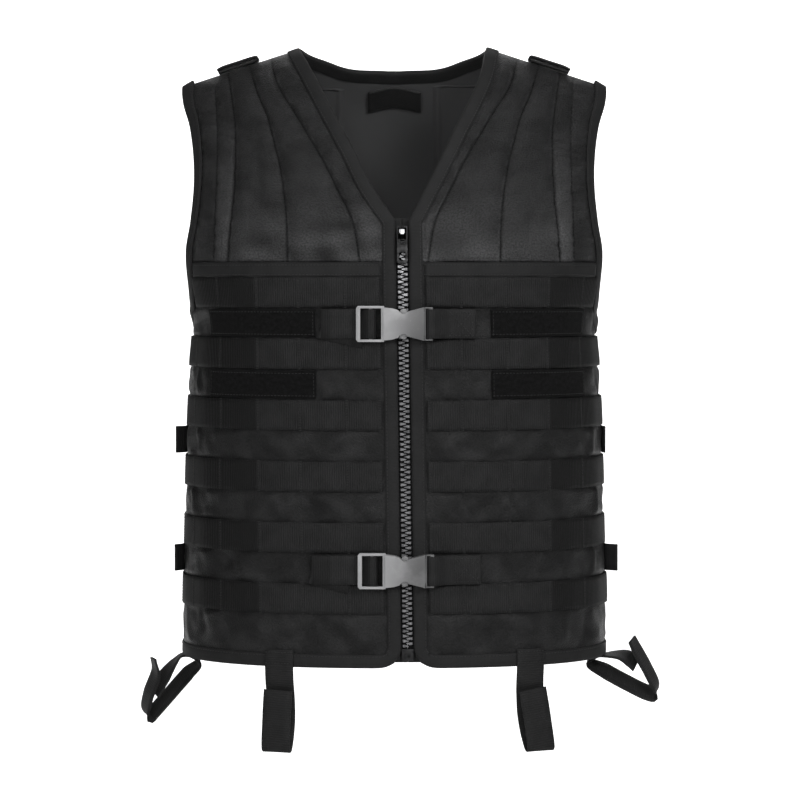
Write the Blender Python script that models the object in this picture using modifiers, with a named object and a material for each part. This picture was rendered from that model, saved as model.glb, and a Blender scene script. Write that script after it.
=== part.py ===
"""A webbing carrier vest, held up as worn: front toward -Y, +Z up, left and right as seen from the front.

The origin is at the middle of the shoulders, level with the height at which they carry the vest.
Sizes are in millimetres, and MM turns them into Blender's metres.
"""

import math

import bmesh
import bpy
import numpy as np
from mathutils import Matrix, Vector

MM = 0.001
GAP = 0.4

# Body shape: each level section is a superellipse, and levels tilt down toward the arms at the shoulders
SECTION_POWER = 2.3
RIDGE = 46.5
SHOULDER_SLOPE = 0.323
TILT_START = -170.0
MIDDLE_ROUND = 6.0
MIDDLE_REACH = 30.0
TORSO_COLUMNS = ("height", "half_width", "front_depth", "back_depth")
TORSO = (
    (-498.0, 182.0, 112.0, 102.0),
    (-440.0, 181.0, 113.0, 100.0),
    (-390.0, 179.5, 113.5, 98.5),
    (-340.0, 178.5, 114.0, 98.0),
    (-290.0, 176.5, 115.5, 100.0),
    (-250.0, 174.5, 117.0, 103.0),
    (-214.0, 173.0, 118.0, 106.5),
    (-190.0, 180.0, 117.5, 108.5),
    (-162.0, 186.5, 116.0, 110.0),
    (-120.0, 184.3, 111.0, 110.5),
    (-80.0, 182.5, 101.0, 106.0),
    (-40.0, 183.0, 85.0, 95.0),
    (-10.0, 184.2, 67.5, 80.0),
    (14.0, 185.8, 50.0, 62.0),
    (32.0, 189.0, 33.0, 41.0),
    (42.0, 190.0, 19.0, 23.0),
    (46.5, 190.0, 8.0, 9.0),
)

# Armhole: its angle round the section, 90 degrees being the side seam
ARMHOLE_BOTTOM = -214.0
ARMHOLE_ROUND_TOP = -150.0
ARMHOLE_SIDE_ANGLE = 68.0
ARMHOLE_COLUMNS = ("height", "angle")
ARMHOLE = (
    (-150.0, 68.0),
    (-120.0, 66.6),
    (-80.0, 65.8),
    (-40.0, 65.8),
    (0.0, 67.8),
    (20.0, 70.0),
    (46.5, 71.0),
)

# Neck and closure: how far each edge lies from the middle, measured toward its own side
V_BOTTOM = -126.0
ZIP_TOP_X = 6.6
ZIP_BOTTOM_X = 11.6
ZIP_HALF_OPENING = 6.6
NECK_COLUMNS = ("height", "left", "right")
NECK = (
    (-126.0, 1.0, 14.0),
    (-103.0, 16.4, 25.0),
    (-62.0, 35.0, 43.0),
    (-42.0, 44.0, 51.0),
    (-10.0, 57.7, 64.0),
    (20.0, 70.0, 74.5),
    (46.5, 82.0, 80.0),
)
BACK_NECK_COLUMNS = ("height", "edge")
BACK_NECK = ((6.0, 0.0), (14.0, 28.0), (32.0, 61.0), (42.0, 76.0), (46.5, 81.0))

# Stitched channels of the yokes: distance of each seam from the middle
YOKE_COLUMNS = ("height", "inner", "middle", "outer", "groove")
YOKE_SEAMS = (
    (-162.0, 28.0, 88.0, 138.5, 150.5),
    (-125.0, 35.0, 89.0, 136.0, 150.0),
    (-100.0, 46.0, 91.0, 134.0, 149.5),
    (-75.0, 56.5, 94.0, 133.0, 149.0),
    (-40.0, 72.5, 100.5, 133.0, 149.0),
    (-12.0, 85.0, 106.5, 134.0, 149.5),
    (14.0, 97.0, 115.0, 137.0, 151.0),
    (46.5, 106.0, 124.0, 142.0, 154.0),
)
CHANNEL_PUFF = 2.6

# Cloth
PANEL_WALL = 3.0
YOKE_WALL = 5.0
BINDING_WALL = 1.0
BINDING_WIDTH = 10.0
END_INSET = 0.06
INNER_EASE = 1.5
NECK_EASE = 0.5
PLACKET_WIDTH = 12.0
HEM = -498.0
HEM_BINDING = 11.0
CORNER_RISE = 6.0
SEAM = -162.0
HALF_SEAM_GAP = 0.5

# Webbing
WEBBING = 24.8
WEBBING_WALL = 1.5
ROW_PITCH = 50.9
ROW_COUNT = 6
FIRST_ROW = -187.1
TACKS = (41.5, 79.5, 117.5, 155.5, 193.5)
WEBBING_BOW = 0.9
BACK_ROWS = (2, 3, 4, 5, 6)
PATCH_MARGIN = 1.7
PATCH_WALL = 1.6
PATCH_LIFT = 0.4
PATCH_FROM = 66.5
PATCH_TO = {"left": 168.0, "right": 160.0}
STRAP_WALL = 1.5

# Zip
TEETH_TOP = -149.0
TEETH_BOTTOM = -482.0
TOOTH_PITCH = 5.8
TOOTH_REACH = 4.6
TOOTH_NECK = 3.7
TEETH_WALL = 3.4
TEETH_DEPTH = 1.0
TAPE_HALF = 17.0
TAPE_WALL = 0.8
TAPE_DEPTHS = (
    (-124.0, 7.4), (-165.0, 7.4), (-182.0, 5.3), (-225.0, 5.3),
    (-275.0, 5.3), (-350.0, 5.3), (-430.0, 5.3), (-495.0, 5.3),
)
SLIDER = -139.5
PULL_WALL = 1.4
PULL_OUTLINE = ((-4.4, 1.0), (4.4, 1.0), (4.4, -22.5), (3.2, -24.5), (-3.2, -24.5), (-4.4, -22.5))
PULL_WINDOWS = (
    ((-2.6, -0.9), (2.6, -0.9), (2.6, -7.0), (-2.6, -7.0)),
    ((-2.4, -15.0), (2.4, -15.0), (2.4, -22.0), (-2.4, -22.0)),
)

# Buckles: height of each and the place of its waist
BUCKLE_LIFT = 9.2
BUCKLE_TOP = -213.0
BUCKLE_BOTTOM = -417.0
TOP_WAIST = 7.9
BOTTOM_WAIST = 9.1
BUTTON_RADIUS = 3.1
NOTCH_RADIUS = 4.2
RUN_STEP = 13.0
TAIL_SLOPE = 0.23

# Belt loops: height over the hem and distance off the cloth, then the side ones as seen from the front
LOOP_WALL = 1.9
LOOP_PROFILE = (
    (13.0, 2.75), (-1.0, 2.75), (-14.0, 1.6), (-24.0, -2.0), (-44.0, -6.5), (-62.0, -5.0),
    (-72.0, -0.5), (-71.0, 3.5), (-44.0, 5.6), (-26.0, 5.2), (-20.5, 4.8),
)
LOOP_LEFT = -95.0
LOOP_RIGHT = 113.0
SIDE_LOOP_Y = -13.0
SIDE_LOOP_LEFT = (
    (-207.0, -534.0), (-198.0, -518.5), (-189.0, -506.5), (-183.0, -500.9), (-175.0, -500.9),
    (-168.0, -506.5), (-178.4, -517.0), (-196.0, -537.0), (-207.5, -550.0), (-211.5, -554.0),
    (-214.5, -549.5), (-212.5, -536.0),
    (-206.0, -517.0), (-208.0, -503.6),
)
SIDE_LOOP_RIGHT = (
    (209.0, -509.5), (202.0, -503.5), (193.0, -500.9), (183.0, -500.9), (175.0, -500.9), (167.0, -506.0),
    (182.7, -515.0), (202.0, -525.5), (218.8, -533.5), (225.0, -534.5), (226.0, -529.5), (219.0, -513.5),
    (210.5, -498.0), (205.0, -487.0),
)
SIDE_LOOP_WALL = 1.8
# The width of each side loop's strap leans out of the depth, so that its face is seen, but not at the hem
SIDE_LOOP_LEAN = {"left": (-0.33, 0.0, 0.26), "right": (0.2, 0.0, 0.38)}
SIDE_LOOP_SHARES = (1.0, 1.0, 0.35, 0.0, 0.0, 0.35, 1.0, 1.0, 1.0, 1.0, 1.0, 1.0, 1.0, 0.8)

# Keepers over the shoulders: distance along the ridge and lift
KEEPER_PROFILE = (
    (17.0, 2.4), (-14.5, 2.4), (-16.8, 3.2), (-16.8, 5.6), (-14.5, 6.4), (0.0, 6.6),
    (12.5, 6.4), (17.5, 4.4),
)
KEEPER_LEFT = 133.0
KEEPER_RIGHT = 132.0
KEEPER_WALL = 1.6

# Ends of the side adjusters: the gap that each lies in and how far its end stands out
SIDE_STRAP_WIDTH = 23.0
SIDE_STRAP_GAPS = (3, 5)
SIDE_STRAP_FLARES = {"left": (8.0, 6.5), "right": (1.6, 10.0)}

LABEL_HALF = 30.0
LABEL_DROP = 0.36
LABEL_FOOT = 0.72
LABEL_WALL = 0.6
SIDES = ((-1, "left"), (1, "right"))

COLOURS = {
    "nylon": (0.018, 0.018, 0.019, 0.8),
    "padding": (0.024, 0.024, 0.025, 0.75),
    "webbing": (0.016, 0.016, 0.017, 0.85),
    "hook_loop": (0.010, 0.010, 0.010, 0.95),
    "plastic": (0.030, 0.030, 0.032, 0.40),
    "metal": (0.300, 0.300, 0.310, 0.35),
}


def column(table, names, name):
    """One named column of a table."""
    return np.array([row[names.index(name)] for row in table])


def smooth_at(table, names, name, height):
    """A smooth curve through a column of the table, read at a height."""
    x = column(table, names, "height")
    y = column(table, names, name)
    slope = np.gradient(y, x)
    height = float(np.clip(height, x[0], x[-1]))
    i = int(np.clip(np.searchsorted(x, height) - 1, 0, len(x) - 2))
    width = x[i + 1] - x[i]
    t = (height - x[i]) / width
    start = (2 * t**3 - 3 * t**2 + 1) * y[i] + (t**3 - 2 * t**2 + t) * width * slope[i]
    end = (3 * t**2 - 2 * t**3) * y[i + 1] + (t**3 - t**2) * width * slope[i + 1]
    return float(start + end)


def tilt(height):
    """How much of the shoulders' slope a level has: none at the chest, all of it at the ridge."""
    t = min(max((height - TILT_START) / (RIDGE - TILT_START), 0.0), 1.0)
    return SHOULDER_SLOPE * (3 * t**2 - 2 * t**3)


def body_point(side, facing, angle, height, at_ridge=False):
    """A point of the vest's outer surface. facing is -1 for the front and 1 for the back."""
    half_width = smooth_at(TORSO, TORSO_COLUMNS, "half_width", height)
    depth = smooth_at(TORSO, TORSO_COLUMNS, "front_depth" if facing < 0 else "back_depth", height)
    if at_ridge:
        depth = 0.0
    power = 2 / SECTION_POWER
    across = math.copysign(abs(math.sin(angle)) ** power, math.sin(angle)) * half_width
    forward = max(math.cos(angle), 0.0) ** power * depth
    spread = math.hypot(across, MIDDLE_ROUND * math.exp(-((across / MIDDLE_REACH) ** 2)))
    return np.array([side * across, facing * (forward + HALF_SEAM_GAP), height - tilt(height) * spread])


def angle_at(distance, height):
    """The angle at which the section is this far from the middle."""
    share = min(abs(distance) / smooth_at(TORSO, TORSO_COLUMNS, "half_width", height), 1.0)
    return math.copysign(math.asin(share ** (SECTION_POWER / 2)), distance)


def armhole_angle(height):
    """The armhole's edge: a straight-sided opening with a round bottom."""
    if height <= ARMHOLE_BOTTOM:
        return math.pi / 2
    if height >= ARMHOLE_ROUND_TOP:
        return math.radians(smooth_at(ARMHOLE, ARMHOLE_COLUMNS, "angle", height))
    t = (ARMHOLE_ROUND_TOP - height) / (ARMHOLE_ROUND_TOP - ARMHOLE_BOTTOM)
    return math.radians(ARMHOLE_SIDE_ANGLE + (90 - ARMHOLE_SIDE_ANGLE) * (1 - math.sqrt(1 - t**2)))


def zip_x(height):
    """The closure runs a little askew, further to the right at the hem than at the neck."""
    return float(np.interp(height, (HEM, V_BOTTOM), (ZIP_BOTTOM_X, ZIP_TOP_X)))


def inner_edge(side, facing, height):
    """Distance of a panel's inner edge from the middle, toward its own side."""
    if facing > 0:
        return 0.0 if height <= BACK_NECK[0][0] else smooth_at(BACK_NECK, BACK_NECK_COLUMNS, "edge", height)
    if height <= V_BOTTOM:
        return side * zip_x(height) + ZIP_HALF_OPENING
    return smooth_at(NECK, NECK_COLUMNS, "left" if side < 0 else "right", height)


def arc_angles(side, facing, height, places):
    """Angles at distances along the cloth from the inner edge, or from the outer edge where negative."""
    start = angle_at(inner_edge(side, facing, height), height)
    angles = np.linspace(start, armhole_angle(height), 160)
    points = np.array([body_point(side, facing, a, height) for a in angles])
    run = np.append(0, np.cumsum(np.linalg.norm(np.diff(points, axis=0), axis=1)))
    return [float(np.interp(p if p >= 0 else run[-1] + p, run, angles)) for p in places]


def section_length(side, facing, height):
    """The cloth's length round one section of a panel."""
    start = angle_at(inner_edge(side, facing, height), height)
    angles = np.linspace(start, armhole_angle(height), 160)
    points = np.array([body_point(side, facing, a, height) for a in angles])
    return float(np.linalg.norm(np.diff(points, axis=0), axis=1).sum())


def unit(vectors):
    """Vectors of length one."""
    return vectors / np.maximum(np.linalg.norm(vectors, axis=-1, keepdims=True), 1e-9)


class Cloth:
    """Points on the vest with normals, rows from the hem up and columns from the inner edge out."""

    def __init__(self, points, wall, side, facing):
        self.points = points
        self.wall = wall
        rows = np.gradient(points, axis=0)
        columns = np.gradient(points, axis=1)
        normals = unit(np.cross(rows, columns))
        outward = np.array([side * 0.3, facing, 0.0])
        self.normals = normals * np.sign((normals.reshape(-1, 3) @ outward).sum())

    def take_normals(self, obj):
        """Uses the mesh's own normals, along which its wall is made."""
        normals = np.array([vertex.normal for vertex in obj.data.vertices]).reshape(self.points.shape)
        normals[np.abs(self.points[..., 0]) < 1e-6, 0] = 0.0
        self.normals = unit(normals)

    def blend(self, values, row, place):
        """Values of the grid at a fraction of it."""
        i = int(np.clip(math.floor(row), 0, values.shape[0] - 2))
        j = int(np.clip(math.floor(place), 0, values.shape[1] - 2))
        a = row - i
        b = place - j
        low = values[i, j] * (1 - b) + values[i, j + 1] * b
        high = values[i + 1, j] * (1 - b) + values[i + 1, j + 1] * b
        return low * (1 - a) + high * a

    def normal(self, row, place):
        """The way that the cloth faces at a fraction of the grid."""
        return unit(self.blend(self.normals, row, place))

    def at(self, row, place, lift=0.0):
        """The point at a fraction of the grid, lifted off the cloth."""
        return self.blend(self.points, row, place) + self.normal(row, place) * lift


ROW_EDGES = [FIRST_ROW - ROW_PITCH * k + s * WEBBING / 2 for k in reversed(range(ROW_COUNT)) for s in (-1, 1)]
LOW_HEIGHTS = [HEM, HEM + HEM_BINDING] + ROW_EDGES[:10] + [-222.5, ARMHOLE_BOTTOM, -210.0] + ROW_EDGES[10:]
LOW_HEIGHTS = LOW_HEIGHTS + [SEAM - HALF_SEAM_GAP]
YOKE_HEIGHTS = [SEAM + HALF_SEAM_GAP, V_BOTTOM, -100.0, -70.0, -40.0, -12.0, 12.0, 30.0, 42.0, RIDGE]
FRONT_MARKS = (0.0, PLACKET_WIDTH, *TACKS[:3], 136.5, 155.5, 174.5, 193.5, 215.0)
BACK_MARKS = (0.0, BINDING_WIDTH, 60.0, 110.0, 150.0, 185.0, 212.0)
BACK_HEIGHTS = LOW_HEIGHTS[:-1] + [-130.0, -95.0, -60.0, -30.0, -4.0]
BACK_HEIGHTS = BACK_HEIGHTS + [BACK_NECK[0][0], 16.0, 32.0, 42.0, RIDGE]


def panel_places(marks, length, height):
    """Where the columns of a section lie. Beside the armhole the last one leaves the width of its binding."""
    if height <= ARMHOLE_BOTTOM - BINDING_WIDTH:
        return list(marks) + [length]
    middle = np.array(marks[2:])
    last = length - BINDING_WIDTH
    stretch = min(1.0, (last - 8.0 - marks[1]) / (middle[-1] - marks[1]))
    places = marks[1] + (middle - marks[1]) * stretch
    return list(marks[:2]) + list(places[:-1]) + [last, length]


def panel_cloth(side, facing):
    """The grid of a front panel, or of one half of the back."""
    heights = LOW_HEIGHTS if facing < 0 else BACK_HEIGHTS
    marks = FRONT_MARKS if facing < 0 else BACK_MARKS
    rows = []
    for height in heights:
        length = section_length(side, facing, height)
        angles = arc_angles(side, facing, height, panel_places(marks, length, height))
        rows.append([body_point(side, facing, a, height) for a in angles])
    if facing > 0:
        angles = arc_angles(side, facing, RIDGE, panel_places(marks, length, RIDGE))
        rows.append([body_point(side, facing, a, RIDGE, at_ridge=True) for a in angles])
        for row, height in zip(rows, heights):
            if height <= BACK_NECK[0][0]:
                row[0] = row[0] * (0, 1, 1)
    points = np.array(rows)
    if facing < 0:
        points[0, 0, 2] += CORNER_RISE
        points[0, 1, 2] += CORNER_RISE * 0.3
    return Cloth(points, PANEL_WALL, side, facing)


def yoke_cloth(side):
    """The grid of a yoke, puffed up between its stitched channels."""
    rows = []
    puffs = (0, 0, 0.8, 0, 1, 0, 1, 0, 0.6, 0, 0.5, 0, 0)
    for height, at_ridge in [(h, False) for h in YOKE_HEIGHTS] + [(RIDGE, True)]:
        seams = [angle_at(smooth_at(YOKE_SEAMS, YOKE_COLUMNS, n, height), height) for n in YOKE_COLUMNS[1:]]
        edge = arc_angles(side, -1, height, [0.0, PLACKET_WIDTH, -BINDING_WIDTH, -0.001])
        seams[0] = max(seams[0], edge[1] + math.radians(2.5))
        angles = [edge[0], edge[1], (edge[1] + seams[0]) / 2, seams[0]]
        for a, b in zip(seams, seams[1:] + [edge[2]]):
            angles += [(a + b) / 2, b]
        angles += [edge[3]]
        rows.append([body_point(side, -1, a, height, at_ridge) for a in angles])
    flat = Cloth(np.array(rows), YOKE_WALL, side, -1)
    lift = np.array(puffs[: flat.points.shape[1]]) * CHANNEL_PUFF
    fade = np.ones(flat.points.shape[0])
    fade[[0, -1]] = 0.0
    fade[-2] = 0.4
    points = flat.points + flat.normals * (fade[:, None] * lift[None, :])[..., None]
    return Cloth(points, YOKE_WALL, side, -1)


def material(name, finish):
    """A plain material with the finish's colour and roughness."""
    made = bpy.data.materials.new(name)
    made.use_nodes = True
    red, green, blue, roughness = COLOURS[finish]
    shader = made.node_tree.nodes["Principled BSDF"]
    shader.inputs["Base Color"].default_value = (red, green, blue, 1)
    shader.inputs["Roughness"].default_value = roughness
    shader.inputs["Metallic"].default_value = 1.0 if finish == "metal" else 0.0
    return made


def add_object(name, mesh, finish):
    """A sub-part in the vest's collection."""
    obj = bpy.data.objects.new(name, mesh)
    mesh.materials.clear()
    mesh.materials.append(material(name, finish))
    PARTS.objects.link(obj)
    return obj


def thicken(obj, wall, offset, even=True):
    """A wall on an open surface. offset is 1 for outward, -1 for inward and 0 for both ways."""
    solid = obj.modifiers.new("Wall", "SOLIDIFY")
    solid.thickness = wall * MM
    solid.offset = offset
    solid.use_even_offset = even
    return obj


def surface(name, grid, outward, finish, closed=False):
    """An open mesh from a grid of points, its faces toward outward, repeated points made one."""
    rows, columns = grid.shape[:2]
    flat = grid.reshape(-1, 3) * MM
    last = rows if closed else rows - 1
    faces = []
    for i in range(last):
        n = (i + 1) % rows
        for j in range(columns - 1):
            faces.append((i * columns + j, i * columns + j + 1, n * columns + j + 1, n * columns + j))
    mesh = bpy.data.meshes.new(name)
    mesh.from_pydata(flat.tolist(), [], faces)
    shape = bmesh.new()
    shape.from_mesh(mesh)
    bmesh.ops.remove_doubles(shape, verts=shape.verts, dist=MM * 0.01)
    shape.normal_update()
    total = sum((f.normal * f.calc_area() for f in shape.faces), Vector())
    if total.dot(Vector(outward)) < 0:
        bmesh.ops.reverse_faces(shape, faces=shape.faces)
    shape.to_mesh(mesh)
    shape.free()
    mesh.shade_smooth()
    return add_object(name, mesh, finish)


def mirrored(obj):
    """Both halves of the back, met at the middle."""
    mirror = obj.modifiers.new("Halves", "MIRROR")
    mirror.use_axis = (True, False, False)
    mirror.merge_threshold = 0.0001
    return obj


def outward_of(side, facing):
    """The way that a panel faces, roughly."""
    return (side * 0.3, facing, 0.0)


def skin(name, cloth, rows, places, wall, finish, side, facing, bow=None):
    """A flat piece lying on the cloth, between fractions of its grid."""
    bow = bow if bow is not None else [0.0] * len(places)
    grid = np.array([[cloth.at(r, p, GAP + b) for p, b in zip(places, bow)] for r in rows])
    return thicken(surface(name, grid, outward_of(side, facing), finish), wall, 1)


def place_of(marks, distance):
    """The column fraction at a distance from the inner edge."""
    return float(np.interp(distance, marks, range(len(marks))))


def bound(name, pairs, finish, closed=False, halves=False, ease=0.0):
    """Binding folded over an edge. Each pair is (edge, inner, edge normal, inner normal, cloth wall)."""
    rows = []
    edges = [pair[0] for pair in pairs]
    for k, (edge, inner, edge_normal, inner_normal, wall) in enumerate(pairs):
        before = edges[k - 1] if closed or k else edge
        after = edges[(k + 1) % len(edges)] if closed or k < len(edges) - 1 else edge
        along = after - before
        if halves and abs(edge[0]) < 1e-6:
            along = np.array([1.0, 0.0, 0.0])
        out = unit(np.cross(along, edge_normal)) if along.any() else unit(edge - inner)
        out = out * (GAP + ease / 2) * (-1 if np.dot(out, edge - inner) < -1e-9 else 1)
        rows.append([
            inner + inner_normal * (GAP + ease / 2),
            edge + edge_normal * (GAP + ease / 2) + out,
            edge - edge_normal * (wall + GAP + ease / 2) + out,
            inner - inner_normal * (wall + GAP + ease),
        ])
    grid = np.array(rows)
    obj = surface(name, grid, (0, 0, 0), finish, closed)
    k = len(pairs) // 2
    centre = Vector((grid[k][0] + grid[k][1] + grid[k - 1][0] + grid[k - 1][1]) / 4 * MM)
    outer_face = min(obj.data.polygons, key=lambda f: (f.center - centre).length)
    if outer_face.normal.dot(Vector(pairs[k][2])) < 0:
        obj.data.flip_normals()
    return thicken(mirrored(obj) if halves else obj, BINDING_WALL, 1, even=not closed)


def edge_pair(cloth, edge, inner):
    """One station of a binding, from two places of the cloth's grid."""
    return (cloth.at(*edge), cloth.at(*inner), cloth.normal(*edge), cloth.normal(*inner), cloth.wall)


def ribbon(name, path, across, width, wall, finish):
    """Webbing carried along a path, width measured along across."""
    path = np.array(path)
    across = np.array(across, float)
    half = unit(np.broadcast_to(across, path.shape)) * width / 2
    grid = np.stack([path - half, path + half], axis=1)
    return thicken(surface(name, grid, (0, 0, 0.0), finish), wall, 0)


def outline(points, holes, thickness, name):
    """A flat plate from its outline and holes in X and Z, centred in Y, as a mesh object."""
    curve = bpy.data.curves.new(name, "CURVE")
    curve.dimensions = "2D"
    curve.fill_mode = "BOTH"
    curve.extrude = thickness / 2 * MM
    for loop in [points, *holes]:
        spline = curve.splines.new("POLY")
        spline.points.add(len(loop) - 1)
        for point, (x, z) in zip(spline.points, loop):
            point.co = (x * MM, z * MM, 0, 1)
        spline.use_cyclic_u = True
    helper = bpy.data.objects.new(name, curve)
    GUIDES.objects.link(helper)
    graph = bpy.context.evaluated_depsgraph_get()
    mesh = bpy.data.meshes.new_from_object(helper.evaluated_get(graph))
    bpy.data.objects.remove(helper)
    mesh.transform(Matrix.Rotation(math.pi / 2, 4, "X"))
    shape = bmesh.new()
    shape.from_mesh(mesh)
    bmesh.ops.remove_doubles(shape, verts=shape.verts, dist=MM * 0.01)
    shape.to_mesh(mesh)
    shape.free()
    return mesh


def box_mesh(name, size, centre):
    """A block of a size in millimetres at a place."""
    shape = bmesh.new()
    bmesh.ops.create_cube(shape, size=1)
    bmesh.ops.scale(shape, vec=Vector(size) * MM, verts=shape.verts)
    bmesh.ops.translate(shape, vec=Vector(centre) * MM, verts=shape.verts)
    mesh = bpy.data.meshes.new(name)
    shape.to_mesh(mesh)
    shape.free()
    return mesh


def rod_mesh(name, radius, length, centre, axis):
    """A bar of eight sides along X, Y or Z."""
    turn = {"X": Matrix.Rotation(math.pi / 2, 4, "Y"), "Y": Matrix.Rotation(math.pi / 2, 4, "X")}
    shape = bmesh.new()
    bmesh.ops.create_cone(
        shape, cap_ends=True, segments=8, radius1=radius * MM, radius2=radius * MM, depth=length * MM
    )
    mesh = bpy.data.meshes.new(name)
    shape.to_mesh(mesh)
    shape.free()
    mesh.transform(Matrix.Translation(Vector(centre) * MM) @ turn.get(axis, Matrix.Identity(4)))
    return mesh


def combine(obj, mesh, operation):
    """Adds a mesh to a solid, or cuts it away."""
    tool = bpy.data.objects.new(obj.name + "_" + operation.lower(), mesh)
    tool.hide_render = True
    tool.display_type = "WIRE"
    tool.parent = obj.parent
    GUIDES.objects.link(tool)
    cut = obj.modifiers.new(operation.title(), "BOOLEAN")
    cut.operation = operation
    cut.object = tool


def placed(obj, holder):
    """Hangs a piece, modelled about its own middle, on an empty."""
    obj.parent = holder
    return obj


def holder_at(name, point, normal):
    """An empty whose -Y axis is the cloth's normal and whose Z runs up along the cloth."""
    empty = bpy.data.objects.new(name, None)
    back = -Vector(normal).normalized()
    up = (Vector((0, 0, 1)) - back * back.z).normalized()
    right = back.cross(up)
    turn = Matrix((right, back, up)).transposed().to_4x4()
    empty.matrix_world = Matrix.Translation(Vector(point) * MM) @ turn
    GUIDES.objects.link(empty)
    bpy.context.view_layer.update()
    return empty


def build_panels():
    """The four front pieces and the back, each a shell."""
    cloths = {}
    for side, word in SIDES:
        cloths[word] = panel_cloth(side, -1)
        cloths["yoke_" + word] = yoke_cloth(side)
        for kind, finish in (("", "nylon"), ("yoke_", "padding")):
            cloth = cloths[kind + word]
            name = "front_" + (kind or "panel_") + word
            piece = surface(name, cloth.points, outward_of(side, -1), finish)
            cloth.take_normals(piece)
            thicken(piece, cloth.wall, -1, even=False)
    cloths["back"] = panel_cloth(1, 1)
    back = surface("back_panel", cloths["back"].points, outward_of(1, 1), "nylon")
    cloths["back"].take_normals(back)
    thicken(mirrored(back), PANEL_WALL, -1, even=False)
    return cloths


def build_bindings(cloths):
    """Tape folded over the neck, the closure, the hems and the armholes."""
    last_low = len(LOW_HEIGHTS) - 1
    for side, word in SIDES:
        yoke = cloths["yoke_" + word]
        low = cloths[word]
        end = low.points.shape[1] - 1
        top = yoke.points.shape[0] - 1
        path = [edge_pair(yoke, (i, 0), (i, 1)) for i in range(top, -1, -1)]
        path += [edge_pair(low, (i, 0), (i, 1)) for i in range(last_low - 1, 0, -1)]
        path += [edge_pair(low, (0, j), (1, max(j, 1))) for j in range(0, end)]
        path += [edge_pair(low, (0, end - END_INSET), (1, end - END_INSET))]
        bound("front_binding_" + word, path, "webbing")
    back = cloths["back"]
    low_row = BACK_HEIGHTS.index(BACK_NECK[0][0])
    top = back.points.shape[0] - 1
    neck = [edge_pair(back, (i, 0), (i, 1)) for i in range(top, low_row, -1)]
    neck += [edge_pair(back, (low_row, 0), (low_row, 1)), edge_pair(back, (low_row, 0), (low_row - 1, 1))]
    neck += [edge_pair(back, (low_row, 0), (low_row - 1, 0))]
    bound("back_neck_binding", neck, "webbing", halves=True, ease=NECK_EASE)
    end = back.points.shape[1] - 1
    hem = [edge_pair(back, (0, j), (1, j)) for j in [*range(end), end - END_INSET]]
    bound("back_hem_binding", hem, "webbing", halves=True)


def build_armholes(cloths):
    """One ring of tape round each armhole, from the shoulder down the front and up the back."""
    bottom = LOW_HEIGHTS.index(ARMHOLE_BOTTOM)
    for side, word in SIDES:
        yoke = cloths["yoke_" + word]
        low = cloths[word]
        back = cloths["back"]
        flip = np.array([side, 1.0, 1.0])
        path = []
        yoke_rows = range(yoke.points.shape[0] - 1, -1, -1)
        low_rows = range(len(LOW_HEIGHTS) - 2, bottom, -1)
        for cloth, rows in ((yoke, yoke_rows), (low, low_rows)):
            end = cloth.points.shape[1] - 1
            path += [edge_pair(cloth, (i, end), (i, end - 1)) for i in rows]
        front_low = edge_pair(low, (bottom, low.points.shape[1] - 1), (bottom - 1, low.points.shape[1] - 2))
        middle = edge_pair(low, (bottom, low.points.shape[1] - 1), (bottom - 1, low.points.shape[1] - 1))
        path += [front_low, middle]
        end = back.points.shape[1] - 1
        back_rows = range(bottom + 1, back.points.shape[0] - 1)
        behind = [edge_pair(back, (bottom, end), (bottom - 1, end - 1))]
        behind += [edge_pair(back, (i, end), (i, end - 1)) for i in back_rows]
        path += [(e * flip, n * flip, en * flip, nn * flip, w) for e, n, en, nn, w in behind]
        bound("armhole_binding_" + word, path, "webbing", closed=True, ease=INNER_EASE)


def tack_places(marks, end_place, start_place):
    """Columns of a webbing row: its ends, its tacks and the middle of each span, with the bow of each."""
    tacks = [place_of(marks, t) for t in TACKS]
    stops = [start_place] + [t for t in tacks if t < end_place - 0.5] + [end_place]
    places = [stops[0]]
    bows = [0.0]
    for a, b in zip(stops, stops[1:]):
        places += [(a + b) / 2, b]
        bows += [WEBBING_BOW, 0.0]
    return places, bows


def build_webbing(cloths):
    """Rows of webbing on both fronts and round the back."""
    marks = list(FRONT_MARKS)
    for k in range(ROW_COUNT):
        low = LOW_HEIGHTS.index(ROW_EDGES[2 * (ROW_COUNT - 1 - k)])
        for side, word in SIDES:
            cloth = cloths[word]
            columns = cloth.points.shape[1] - 1
            end = columns - 1.06 if k == 0 else columns - 0.03
            places, bows = tack_places(marks, end, 1.06)
            name = f"webbing_{word}_{k + 1}"
            skin(name, cloth, (low, low + 1), places, WEBBING_WALL, "webbing", side, -1, bows)
    cloth = cloths["back"]
    columns = cloth.points.shape[1] - 1
    for k in BACK_ROWS:
        low = BACK_HEIGHTS.index(ROW_EDGES[2 * (ROW_COUNT - k)])
        places = [0.0, 1.0, 2.0, 3.0, 4.0, 5.0, 6.0, columns - 0.03]
        grid = np.array([[cloth.at(r, p, GAP) for p in places] for r in (low, low + 1)])
        strip = surface(f"webbing_back_{k - 1}", grid, outward_of(1, 1), "webbing")
        thicken(mirrored(strip), WEBBING_WALL, 1)


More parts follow.
